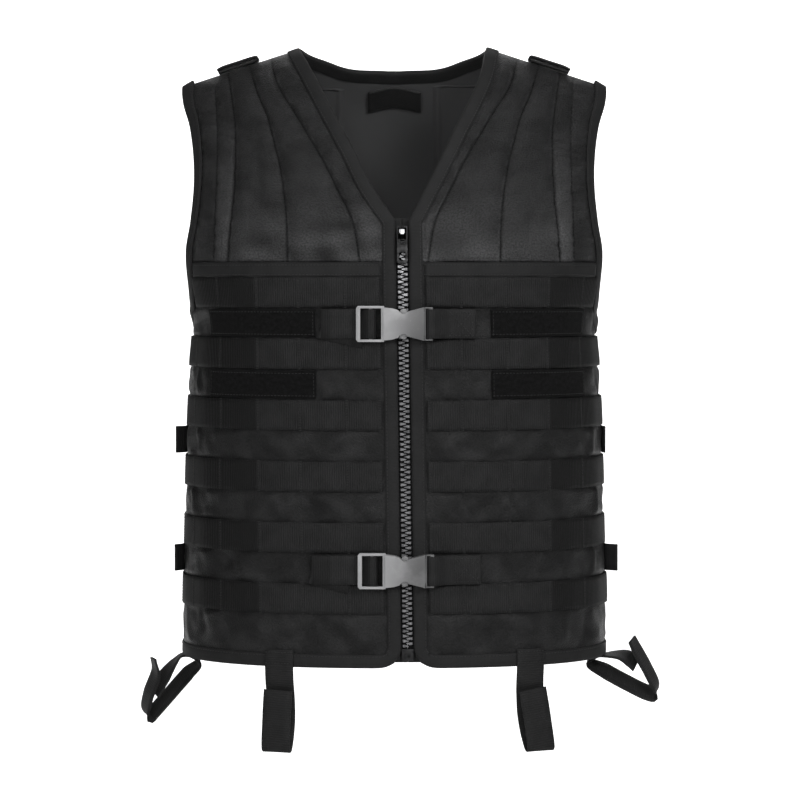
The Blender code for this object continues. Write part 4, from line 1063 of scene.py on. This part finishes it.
# %% Bindings of the neck, the closure and the hem
SEWN_LINES = []
UP = np.array([0.0, 0.0, 1.0])
for side, word in SIDES:
    heights, _, points = FRONTS[word]
    y_heights, _, y_points = YOKES[word][:3]
    rows = slice(len(y_heights) - 3, None, -1)
    down, low, hem = y_points[rows, 0], points[:5:-1, 0], points[0, 3:]
    edge, normals, thick = edge_of(
        (side, FRONT, down, y_heights[rows], YOKE_WALL), (side, FRONT, low, heights[:5:-1], PANEL_WALL),
        (side, FRONT, hem, HEM, PANEL_WALL),
    )
    corner = len(down) + len(low)
    into = np.concatenate([np.tile([side, 0.0, -0.2], (corner, 1)), np.tile(UP, (len(hem), 1))])
    into[corner - 2 : corner + 3] = (side * 0.7, 0.0, 0.7)
    node = "front_binding_" + word
    SEWN_LINES.append(binding(node + "_tape", node, edge, normals, into, evened(thick, 4)))
print("bindings of the fronts made")

# %% Bindings of the armholes
for side, word in SIDES:
    heights, _, points = FRONTS[word]
    y_heights, _, y_points = YOKES[word][:3]
    b_heights, _, b_points = BACK_HALVES[word]
    front_rows = np.nonzero(heights > ARMHOLE_BOTTOM)[0][::-1]
    back_rows = np.nonzero(b_heights > ARMHOLE_BOTTOM)[0][:-2]
    loop = edge_of(
        (side, FRONT, y_points[-3::-1, -1], y_heights[-3::-1], YOKE_WALL),
        (side, FRONT, points[front_rows, -1], heights[front_rows], PANEL_WALL),
        (side, BACK, b_points[back_rows, -1], b_heights[back_rows], PANEL_WALL),
    )
    edge, normals, thick = (np.concatenate([a, a[:1]]) for a in loop)
    into = edge - np.array([side * 168.0, 0.0, -95.0])
    into[:, 0] = -side * 40.0
    node = "armhole_binding_" + word
    SEWN_LINES.append(binding(node + "_tape", node, edge, normals, into, evened(thick, 4), closed=True))
print("bindings of the armholes made")

# %% Bindings of the back
b_heights = BACK_HALVES["left"][0]
left, right = (BACK_HALVES[word][2] for _, word in SIDES)
edge, normals, thick = edge_of(
    (-1, BACK, left[0, :0:-1], HEM, PANEL_WALL), (1, BACK, right[0], HEM, PANEL_WALL),
)
binding("back_hem_tape", "back_hem_binding", edge, normals, np.tile(UP, (len(edge), 1)), thick)
rows = np.nonzero(b_heights > BACK_NECK_BOTTOM)[0][:-4]
edge, normals, thick = edge_of(
    (-1, BACK, left[rows[::-1], 0], b_heights[rows[::-1]], PANEL_WALL),
    (1, BACK, right[rows, 0], b_heights[rows], PANEL_WALL),
)
out = edge[:, 0]
outward = np.sign(out) * 0.6 * np.clip(np.abs(out) / 50, 0, 1)
into = np.stack([outward, 0 * out + 0.4, 0 * out - 0.8], axis=1)
binding("back_neck_tape", "back_neck_binding", edge, normals, into, thick)
print("bindings of the back made")


# %% [markdown]
# ## Webbing rows
#
# Each row is a strap laid on the cloth and sewn down at even spacings, a little slack between the seams so
# that a pouch's strap can be pushed behind it. So its grid is the cloth's own, lifted by half a millimetre,
# with a bow between the seams. A texture could paint the rows, but it would cast no shadow at their edges.

# %% Webbing on the fronts and the back
TAPE, OVER_TAPE = 1.5, 1.55
SEAM_CLEAR, BAND_END, FIRST_TACK_IN, BACK_SHIFT = 0.6, 12.0, 1.6, 20.0


def slack(places, tallest, seed):
    """The bow of a row: a half wave squared between two seams, a little different in each span."""
    k = np.clip(np.searchsorted(TACKS, np.abs(places)) - 1, 0, len(TACKS) - 2)
    dice = np.random.default_rng(seed).uniform(0.5, 1.25, len(TACKS))
    return tallest * field_swell(np.abs(places)) * dice[k]


def laid_strip(side, facing, centre, first, last, seed):
    """A row of webbing between two places of the cloth, as points, UV and outward ways."""
    heights = centre + np.linspace(-ROW / 2, ROW / 2, 9)
    places = np.tile(np.linspace(first, last, int((last - first) / 1.6)), (len(heights), 1))
    edge = 1 - np.abs(np.linspace(-1, 1, 9)) ** 6 * 0.25
    return strip_on(side, facing, heights, places, 0.45 + slack(places, 0.95, seed) * edge[:, None])


def sewn_down(name, finish, strip, node, thickness=TAPE):
    """A strip as a piece with a thickness."""
    points, uv, ways = strip
    wall(put(name, points, uv, finish, ways, node=node), thickness, 1.0)


def tack_rows(strip, tacks):
    """A line of thread across a row at each tack."""
    points, uv, ways = strip
    for tack in tacks:
        j = int(np.argmin(np.abs(uv[0, :, 0] - tack)))
        TACK_LINES.append((points[:, j] + ways[:, j] * OVER_TAPE, ways[:, j]))


def full_length(side, facing, height):
    """The length of the cloth at one height, from its inner edge."""
    return float(sections(side, facing, np.array([height]))[1][0, -1])


TACK_LINES = []
LENGTHS = {"left": [], "right": []}
for k, centre in enumerate(ROW_CENTRES):
    for side, word in SIDES:
        last = full_length(side, FRONT, centre) - (BAND_END if k == 0 else SEAM_CLEAR)
        node = f"webbing_{word}_{k + 1}"
        strip = laid_strip(side, FRONT, centre, TACKS[0], last, 50 + 2 * k + (side > 0))
        sewn_down(node + "_row", ROW_WEBBING, strip, node)
        LENGTHS[word].append(last)
        shown = TACKS[TACKS < last - 4]
        tack_rows(strip, shown + FIRST_TACK_IN * (shown == TACKS[0]))
for k in range(1, ROWS):
    halves = []
    for side, word in SIDES:
        length = full_length(side, BACK, ROW_CENTRES[k])
        strip = laid_strip(side, BACK, ROW_CENTRES[k], 0.0, length - SEAM_CLEAR, 70 + k)
        tack_rows(strip, TACKS[1:][TACKS[1:] < length - 4] - BACK_SHIFT)
        halves.append((strip[0], strip[1] * (side, 1), strip[2]))
    strip = [np.concatenate([left[:, :0:-1], right], axis=1) for left, right in zip(*halves)]
    node = f"webbing_back_{k}"
    sewn_down(node + "_row", ROW_WEBBING, strip, node)
print("rows on a front", ROWS, "of lengths", [round(n) for n in LENGTHS["left"]])

# %% Loop tape and chest bands
PATCH_GAPS = (0, 1)
PATCH_FROM, PATCH_TO = 66.5, {"left": 168.0, "right": 160.0}
PATCH_THICKNESS, PATCH_MARGIN, OVER_PATCH = 1.7, 1.7, 1.6
BAND_LOW, BAND_HIGH = 12.4, 0.6


def rim(grid):
    """The ring of points one step inside a grid's edge, closed."""
    return np.concatenate([grid[1, 1:-1], grid[1:-1, -2], grid[-2, -2:0:-1], grid[-2:0:-1, 1], grid[1:2, 1]])


for side, word in SIDES:
    for k in PATCH_GAPS:
        heights = np.linspace(ROW_CENTRES[k + 1] + ROW / 2 + PATCH_MARGIN,
                              ROW_CENTRES[k] - ROW / 2 - PATCH_MARGIN, 12)
        places = np.tile(np.linspace(PATCH_FROM, PATCH_TO[word], 64), (12, 1))
        ripple = 0.15 * waves(90 + k, 6, 20, 50, places, heights[:, None])
        strip = strip_on(side, FRONT, heights, places, 0.75 + ripple)
        node = f"loop_patch_{word}_{k + 1}"
        sewn_down(node + "_tape", LOOP_TAPE, strip, node, PATCH_THICKNESS)
        SEWN_LINES.append((rim(strip[0] + strip[2] * OVER_PATCH), rim(strip[2])))
    heights = SEAM - np.linspace(BAND_LOW, BAND_HIGH, 7)
    length = whole_width(side, FRONT, heights, 2)[0]
    places = BAND_END + np.linspace(0, 1, 90) * (length - 2 * BAND_END)
    lift = 0.5 + 0.35 * np.sin(np.pi * np.linspace(0, 1, 7))[:, None]
    lift = lift + 0.2 * waves(95, 6, 14, 40, places, heights[:, None])
    strip = strip_on(side, FRONT, heights, places, lift)
    node = "chest_band_" + word
    sewn_down(node + "_tape", BINDING, strip, node)
    for row in (1, 5):
        SEWN_LINES.append((strip[0][row] + strip[2][row] * OVER_TAPE, strip[2][row]))
print("patches", len(PATCH_GAPS) * 2)


# %% [markdown]
# ## The zip
#
# A metal zip has separate teeth clamped on two tapes, the teeth of one side in the gaps of the other. Each
# tooth is wide where it grips the tape and narrow at its tip, so one outline of ten points with a thickness
# makes them all: it is set down at every station of the closure, mirrored for the other side, in one array.

# %% Line of the closure
def closure(heights, inset):
    """Points on the closure's middle line, set back from the cloth, with normals and the direction up."""
    angles = angle_at(zip_x(heights), heights)
    here = body(1, FRONT, angles, heights)
    along = unit(body(1, FRONT, angles, heights + 5.0) - here)
    normals = unit(np.cross(along, np.array([1.0, 0, 0])))
    normals = normals * -np.sign(normals[:, 1:2])
    return here - normals * inset, normals, along


HALF_TOOTH = ((-4.5, 1.0), (-4.1, 1.3), (-2.0, 1.1), (0.0, 0.6), (1.0, 0.45))
TOOTH = np.array([(a, -b) for a, b in HALF_TOOTH] + [*HALF_TOOTH[::-1]])
TOOTH_PITCH, TOOTH_LAYERS = 4.2, ((0.86, 0.0), (1.0, -0.45), (1.0, -3.0))
TEETH_TOP, TEETH_BOTTOM = -149.0, -482.0


def teeth(name):
    """Every tooth of both sides: the outline at the front, again at the back, and walls between them."""
    heights = np.arange(TEETH_TOP, TEETH_BOTTOM, -TOOTH_PITCH / 2)
    turn = np.where(np.arange(len(heights)) % 2, -1.0, 1.0)
    centres, normals, along = (a[:, None] for a in closure(heights, 1.0))
    n = len(TOOTH)
    layers = []
    for share, depth in TOOTH_LAYERS:
        a, b = (TOOTH * share).T[:, None, :, None]
        sideways = a * np.array([1.0, 0, 0]) * turn[:, None, None]
        layers.append(centres + sideways + b * along + depth * normals)
    points = np.concatenate(layers, axis=1)
    ring = np.arange(n)
    after = (ring + 1) % n
    quads = np.concatenate([np.stack([ring, after, after + n, ring + n], axis=1) + k * n for k in (0, 1)])
    starts = np.arange(len(heights)) * 3 * n
    faces = (starts[:, None, None] + quads).reshape(-1, 4).tolist()
    faces += (starts[:, None] + ring).tolist() + (starts[:, None] + ring[::-1] + 2 * n).tolist()
    mesh = bpy.data.meshes.new(name)
    mesh.from_pydata((points.reshape(-1, 3) * MM).tolist(), [], faces)
    reworked([mesh], mesh, lambda shape: bmesh.ops.recalc_face_normals(shape, faces=shape.faces))
    mesh.materials.append(TEETH)
    placed(name, mesh, node="zip_teeth")
    return len(heights)


print("teeth", teeth("zip_teeth_cast"))

# %% Tapes behind the teeth
for side, word in SIDES:
    heights = np.linspace(-495, -124, 150)
    depth = np.interp(-heights, (124, 165, 182, 495), (7.4, 7.4, 5.3, 5.3))
    across = np.linspace(SEWN_GAP, 17.0, 12)
    angles = angle_at(side * zip_x(heights)[:, None] + across, heights[:, None])
    points = body(side, FRONT, angles, heights[:, None])
    points = points - closure(heights, 0.0)[1][:, None] * depth[:, None, None]
    node = "zip_tape_" + word
    uv = grid_uv(heights[:, None], across)
    wall(put(node + "_woven", points, uv, BINDING, np.array([0, -1.0, 0]), node=node), 0.8)
print("zip tapes made")


# %% [markdown]
# ## Straps
#
# A strap is flat tape that bends only across its width. So it needs a middle line and one direction, its
# width, and the third direction follows. The line is drawn smoothly through a few points that are given by
# their distance from the closure and their height over the cloth, which is how a strap is threaded by hand.

# %% Tape along a route
def smoothed(route, ways):
    """Cubic curve through a route's points, with the slopes that a parabola through three points gives."""
    gaps = np.linalg.norm(np.diff(route, axis=0), axis=1)
    knots = np.concatenate([[0], np.cumsum(np.sqrt(gaps))])
    fine = np.linspace(0, knots[-1], 40 * len(route))
    curve = hermite(knots, route, np.gradient(route, knots, axis=0), fine)
    return curve, columns_at(fine, knots, ways)


def strap(node, route, width_way, width=24.8, thickness=TAPE, finish=WEBBING):
    """Tape of a width and thickness along a route. Gives its run, middle line, width and outward ways."""
    route = np.array(route, float)
    curve, ways = smoothed(route, np.broadcast_to(np.array(width_way, float), route.shape))
    run, (path, ways) = even_path(curve, 1.2, ways)
    along = unit(np.gradient(path, axis=0))
    across = squared(ways, along)
    up = np.cross(along, across)
    w, t = width / 2, thickness / 2
    half = np.array([(-w, -0.35 * t), (-w + 0.5, -t), (-w * 0.5, -t * 0.94), (0, -t * 0.94),
                     (w * 0.5, -t * 0.94), (w - 0.5, -t), (w, -0.35 * t)])
    profile = np.concatenate([half, half[::-1] * (1, -1)])
    points = carried(np.broadcast_to(profile, (len(path), *profile.shape)), path, across, up)
    uv = grid_uv(run[:, None], np.append(profile[:, 0], profile[0, 0]))
    put(node + "_tape", points, uv, finish, wrap=True, caps=True, node=node)
    return run, path, across, up


print("strap tape", TAPE, "mm thick")

# %% Points over the closure
def front_point(side, distance, height, lift):
    """A point over the front cloth, by distance along it from the closure."""
    angles = np.linspace(-0.2, 1.2, 400)
    run = run_along(body(side, FRONT, angles, np.full(400, float(height))))
    run = run - np.interp(0.0, angles, run)
    angle = np.interp(np.atleast_1d(distance) + side * float(zip_x(height)), run, angles)
    here = body(side, FRONT, angle, height)
    aside = body(side, FRONT, angle + 0.02, height) - here
    normal = unit(np.cross(aside, body(side, FRONT, angle, height + 5.0) - here))
    return here - normal * np.sign(normal[:, 1:2]) * lift


def front_run(side, start, end, height, lift, drops=(0.0, 0.0)):
    """Points along the front cloth, about thirteen millimetres apart, sinking evenly."""
    shares = np.linspace(0, 1, max(2, int(abs(end - start) / 13.0) + 1))
    run = front_point(side, start + (end - start) * shares, height, lift)
    run[:, 2] += drops[0] + (drops[1] - drops[0]) * shares
    return run


def buckle_run(height, waist, places):
    """Points over the buckle's middle line, by place along it and lift."""
    centre, normal, _ = closure(np.array([float(height)]), 0.0)
    centre[0, 0] = waist
    return np.array([centre[0] + (x, 0, 0) + normal[0] * lift for x, lift in places])


print("closure at the hem", round(float(front_point(1, 0.0, HEM, 0.0)[0, 0]), 1), "mm from the middle")

# %% The buckles' straps
TAIL_SLOPE = 0.23
BUCKLE_TAPE = 24.2
THROUGH_FRAME = ((-30.0, 1.5), (-24.4, 3.6), (-23.6, 8.0), (-25.0, 11.0), (-28.8, 11.0), (-31.4, 8.2),
                 (-34.0, 5.6))
ROUND_BAR = ((24.6, 5.5), (20.9, 5.7), (19.2, 7.4), (19.2, 11.0), (20.9, 12.7), (24.6, 12.2), (28.5, 9.2),
             (32.5, 6.0))
STITCH_LINES = []


def on_tape(tape, thickness, from_end, offset):
    """Points on a tape's outer face, by the run back from its end and the offset across it."""
    at = tape[0][-1] - from_end
    centre, wide, out = (columns_at(at, tape[0], field) for field in tape[1:])
    out = out * -np.sign(out[:, 1:2])
    return centre + wide * offset[:, None] + out * (thickness / 2 + 0.05), out


def box_stitch(tape, near, far, half):
    """The square with a cross that fastens a strap: six lines between its corners."""
    corners = {"a": (near, -half), "b": (far, -half), "c": (far, half), "d": (near, half)}
    for start, end in ("ab", "bc", "cd", "da", "ac", "bd"):
        (r0, o0), (r1, o1) = corners[start], corners[end]
        shares = np.linspace(0, 1, 12)
        STITCH_LINES.append(on_tape(tape, TAPE, r0 + (r1 - r0) * shares, o0 + (o1 - o0) * shares))


def buckle_straps(word, height, waist, fold, tail, sewn):
    """At the left the adjusting strap with its folded end and free tail, at the right the sewn one."""
    held = [front_run(-1, 50.0, 40.0, height, 1.3),
            buckle_run(height, waist, THROUGH_FRAME),
            front_run(-1, 40.0, fold - 2.0, height, 5.4), front_point(-1, fold, height, 4.5)]
    loose = front_run(-1, fold - 2.0, tail, height, 3.5, (-0.8, -TAIL_SLOPE * (fold - tail)))
    route = np.concatenate([*held, loose])
    ways = np.tile([0.0, 0.0, 1.0], (len(route), 1))
    ways[-len(loose):, 0] = -TAIL_SLOPE
    strap(f"strap_{word}_left", route, ways, BUCKLE_TAPE, finish=FOLD_WEBBING)
    route = np.concatenate([
        front_run(1, sewn, 30.0, height, 2.7),
        buckle_run(height, waist, ROUND_BAR),
        front_run(1, 38.0, sewn, height, 5.0),
    ])
    box_stitch(strap(f"strap_{word}_right", route, UP, BUCKLE_TAPE), 3.0, 22.0, 9.6)


buckle_straps("top", -213.0, 7.9, 68.0, 31.0, 59.0)
buckle_straps("bottom", -417.0, 9.1, 79.0, 46.0, 61.0)
print("stitched squares", len(STITCH_LINES) // 6)

# %% Belt loops at the hem
LOOP_PROFILE = np.array((
    (13.0, 2.75), (-1.0, 2.75), (-14.0, 1.6), (-24.0, -2.0), (-44.0, -6.5), (-62.0, -5.0),
    (-72.0, -0.5), (-71.0, 3.5), (-44.0, 5.6), (-26.0, 5.2), (-20.5, 4.8),
))
SIDE_LOOPS = {
    "left": ((-207.0, -534.0), (-198.0, -518.5), (-189.0, -506.5), (-183.0, -500.9), (-175.0, -500.9),
             (-168.0, -506.5), (-178.4, -517.0), (-196.0, -537.0), (-207.5, -550.0), (-211.5, -554.0),
             (-214.5, -549.5), (-212.5, -536.0), (-206.0, -517.0), (-208.0, -503.6)),
    "right": ((209.0, -509.5), (202.0, -503.5), (193.0, -500.9), (183.0, -500.9), (175.0, -500.9),
              (167.0, -506.0), (182.7, -515.0), (202.0, -525.5), (218.8, -533.5), (225.0, -534.5),
              (226.0, -529.5), (219.0, -513.5), (210.5, -498.0), (205.0, -487.0)),
}
FRONT_LOOP, SIDE_LOOP = 1.9, 1.8
SIDE_LEAN = {"left": (-0.33, 0.0, 0.26), "right": (0.2, 0.0, 0.38)}
LEAN_SHARES = (1.0, 1.0, 0.35, 0.0, 0.0, 0.35, 1.0, 1.0, 1.0, 1.0, 1.0, 1.0, 1.0, 0.8)
for word, x, lean in (("left", -95.0, 0.045), ("right", 113.0, -0.15)):
    side = -1 if x < 0 else 1
    ends = np.abs(np.array([x - 12.4, x + 12.4]))
    near, far = body(side, FRONT, angle_at(ends, HEM), np.full(2, HEM))
    across = unit(far - near)
    out = np.array([across[1], -across[0], 0.0])
    z, lift = LOOP_PROFILE.T
    shift = np.stack([lean * np.minimum(z + 14.0, 0), 0 * z, z], axis=1)
    route = (near + far) / 2 + out * lift[:, None] + shift
    tape = strap("belt_loop_front_" + word, route, across, thickness=FRONT_LOOP)
    for row in (2.0, 11.0):
        back = np.full(10, tape[0][-1] - row)
        STITCH_LINES.append(on_tape(tape, FRONT_LOOP, back, np.linspace(-11, 11, 10)))
for word, route in SIDE_LOOPS.items():
    ways = np.outer(LEAN_SHARES, SIDE_LEAN[word]) + (0.0, 0.9, 0.0)
    strap("belt_loop_side_" + word, [(x, -13.0, z) for x, z in route], ways, thickness=SIDE_LOOP)
print("belt loops made")

# %% Side adjusters and shoulder loops
FLARES = {"left": (8.0, 6.5), "right": (1.6, 10.0)}
KEEPER = ((17.0, 1.9), (1.0, 1.9), (-14.5, 1.9), (-16.6, 2.7), (-16.6, 4.5), (-14.5, 5.0), (0.0, 5.1),
          (12.5, 5.0), (17.5, 4.1))
KEEPER_MIDDLE = {"left": 133.0, "right": 132.0}
for side, word in SIDES:
    for k, gap_row in enumerate((3, 5)):
        height = FIRST_ROW - PITCH * (gap_row - 0.5)
        places = full_length(side, BACK, height) - np.array([[48.0, 36.0, 24.0, 12.0, 0.0]])
        path, ahead = (cloth_points(side, BACK, np.array([height]), at)[0] for at in (places, places - 2.0))
        out = unit(np.cross(path - ahead, UP))
        path = path + out * np.sign(out @ (side * 0.7, 0.7, 0))[:, None] * 1.5
        free = path[-1] + np.array([(side * 0.3, -8.0, 0), (side * (0.3 + FLARES[word][k]), -16.0, 0)])
        strap(f"side_strap_{word}_{k + 1}", np.concatenate([path, free]), UP, 23.0)
    offset, lift = np.array(KEEPER).T
    across = KEEPER_MIDDLE[word] + offset
    ridge = RIDGE - SHOULDER_SLOPE * across
    route = np.stack([side * (across + 0.3 * lift), 0 * across, ridge + lift], axis=1)
    strap("shoulder_loop_" + word, route, (0, 1.0, 0), thickness=2.0)
print("adjusters and shoulder loops made")

# %% Neck label
LABEL_DEPTH = 5.6
heights = np.linspace(-21.3, -2.6, 8)
across = np.linspace(-24.3, 24.3, 20)
points = body(1, BACK, angle_at(across[None, :], heights[:, None]), heights[:, None])
points = points - facing_out(points, 1, BACK) * LABEL_DEPTH
uv = grid_uv(across, heights[:, None])
wall(put("neck_label_woven", points, uv, LABEL, np.array([0, -1.0, 0]), node="neck_label"), 0.6)
print("label", round(across[-1] * 2), "mm wide")


# %% [markdown]
# ## Stitches
#
# A seam shows as a row of short raised threads. They are modelled, not painted, because the light rakes over
# the bindings. Each is a small tapered block, and a whole seam is one mesh: block corners times stations.

# %% Threads
BLOCK = np.array([(-1, -1, -0.4), (1, -1, -0.4), (1, 1, -0.4), (-1, 1, -0.4),
                  (-0.7, -0.6, 1), (0.7, -0.6, 1), (0.7, 0.6, 1), (-0.7, 0.6, 1)], float)
BLOCK_FACES = np.array([(3, 2, 1, 0), (4, 5, 6, 7), (0, 1, 5, 4), (1, 2, 6, 5), (2, 3, 7, 6), (3, 0, 4, 7)])


def stitches(name, lines, pitch, length, width, height, finish=THREAD):
    """One thread at every pitch along each line of points and outward ways."""
    blocks, places = [], []
    long, wide, tall = BLOCK.T[:, :, None] * np.reshape((length / 2, width / 2, height), (3, 1, 1))
    for path, ways in lines:
        run, (path, ways) = even_path(path, pitch, ways)
        along = unit(np.gradient(path, axis=0))
        up = squared(ways, along)
        across = np.cross(up, along)
        blocks.append(path[:, None] + long * along[:, None] + wide * across[:, None] + tall * up[:, None])
        places.append(grid_uv(run[:, None] + long[:, 0], wide[:, 0]))
    points, places = np.concatenate(blocks), np.concatenate(places)
    faces = (np.arange(len(points))[:, None, None] * 8 + BLOCK_FACES).reshape(-1, 4)
    mesh = bpy.data.meshes.new(name)
    mesh.from_pydata((points.reshape(-1, 3) * MM).tolist(), [], faces.tolist())
    layer = mesh.uv_layers.new(name="cloth")
    layer.data.foreach_set("uv", (places.reshape(-1, 2)[faces.ravel()] * MM).ravel())
    mesh.materials.append(finish)
    placed(name, mesh)
    return len(points)


QUILT_LINES = []
for side, word in SIDES:
    _, _, points, across, lines = YOKES[word]
    ways = facing_out(points, side, FRONT)
    for k in range(1, 5):
        columns = np.argmin(np.abs(across - lines[:, k : k + 1]), axis=1)
        free = (lines[:, k] - lines[:, k - 1] > 4.0) & (columns > 4) & (columns < points.shape[1] - 3)
        rows = np.nonzero(free)[0]
        rows = rows[(rows >= 3) & (rows < 140)]
        if len(rows) > 8:
            seam, out = points[rows, columns[rows]], ways[rows, columns[rows]]
            seam = np.stack([evened(column, 2) for column in seam.T], axis=1)
            QUILT_LINES.append((seam + out * 0.25, out))
SEAMS = (
    ("sewing_edges", SEWN_LINES, 3.0, 2.2, 0.55, 0.32),
    ("sewing_straps", STITCH_LINES, 2.6, 1.9, 0.6, 0.35),
    ("sewing_tacks", TACK_LINES, 1.3, 0.6, 2.4, 0.3),
    ("sewing_quilt", QUILT_LINES, 3.0, 2.0, 0.7, 0.3, QUILT_THREAD),
)
for seam in SEAMS:
    print("threads in", seam[0], stitches(*seam))


# %% [markdown]
# ## Buckles, slider and pull
#
# The hard pieces were worked out as solids in the frame, with their windows, button and waist. The real
# mouldings differ from them only in their small rounded edges, so a copy gets those and a satin finish.
# Carving them again as grids would change sizes that a strap is threaded through.

# %% Hard pieces
FLAT, SHARP = math.radians(1.0), math.radians(28)


def moulded_copy(node, finish, bevel, body_name=VEST):
    """A welded copy of a solid with rounded edges of a radius in millimetres."""
    def welded(shape):
        """Joins the corners of neighbouring faces and melts flat ones together."""
        bmesh.ops.remove_doubles(shape, verts=shape.verts, dist=0.000002)
        bmesh.ops.dissolve_limit(shape, angle_limit=FLAT, verts=shape.verts, edges=shape.edges)

    mesh = bpy.data.meshes.new(node + "_moulded")
    reworked([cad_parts[node].data], mesh, welded)
    mesh.materials.clear()
    mesh.materials.append(finish)
    mesh.shade_smooth()
    made = placed(node + "_moulded", mesh, body_name, node)
    rounding = made.modifiers.new("rounding", "BEVEL")
    rounding.width = bevel * MM
    rounding.segments = 3
    rounding.limit_method = "ANGLE"
    rounding.angle_limit = SHARP
    rounding.harden_normals = True


for word in ("top", "bottom"):
    for half in ("socket", "plug"):
        moulded_copy(f"buckle_{word}_{half}", PLASTIC, 0.5)
moulded_copy("zip_slider", SLIDER, 0.3)
moulded_copy("zip_box", BLACKED, 0.3)
moulded_copy("zip_pull", PULL, 0.22, "zip_pull")
print("hard pieces made")


# %% [markdown]
# ## Floor and backdrop
#
# The photograph's ground is plain white, as a paper sweep lit from behind gives it. So the floor curves up
# behind the vest into a wall, in one sheet, and it glows by itself there. A bare world colour would be white
# too, but it would also light every fold, and the black cloth would turn grey.

# %% Paper sweep
FLOOR, BEND = -0.72, 0.9


def sweep_sheet():
    """A sheet along a line: flat floor, a quarter circle, then a wall, all one profile drawn out in x."""
    turn = np.linspace(0, np.pi / 2, 16)
    y = np.concatenate([[-8.0], 4.2 + BEND * np.sin(turn), [4.2 + BEND]])
    z = np.concatenate([[FLOOR], FLOOR + BEND * (1 - np.cos(turn)), [6.0]])
    points = np.stack(np.broadcast_arrays(np.array([-8.0, 8.0]), y[:, None], z[:, None]), axis=-1)
    paper = Finish("paper", {"Roughness": 0.9, "Emission Strength": 1.15})
    point, px, py, _ = paper.object_places()
    colour = paper.mix(paper.noise(point, 3.0), (0.90, 0.90, 0.90), (0.93, 0.93, 0.93))
    glow = py.step(0.1, 0.6) * px.math("ABSOLUTE").step(2.4, 1.4)
    paper.feed(Base_Color=colour, Emission_Color=paper.mix(glow, (0, 0, 0), (1, 1, 1)))
    mesh = bpy.data.meshes.new("paper_sweep")
    rows = np.arange(len(y) - 1) * 2
    faces = np.stack([rows, rows + 1, rows + 3, rows + 2], axis=1)
    mesh.from_pydata(points.reshape(-1, 3).tolist(), [], faces.tolist())
    mesh.shade_smooth()
    mesh.materials.append(paper.material)
    made = bpy.data.objects.new("paper_sweep", mesh)
    bpy.context.scene.collection.objects.link(made)


sweep_sheet()
print("floor at", FLOOR, "m")
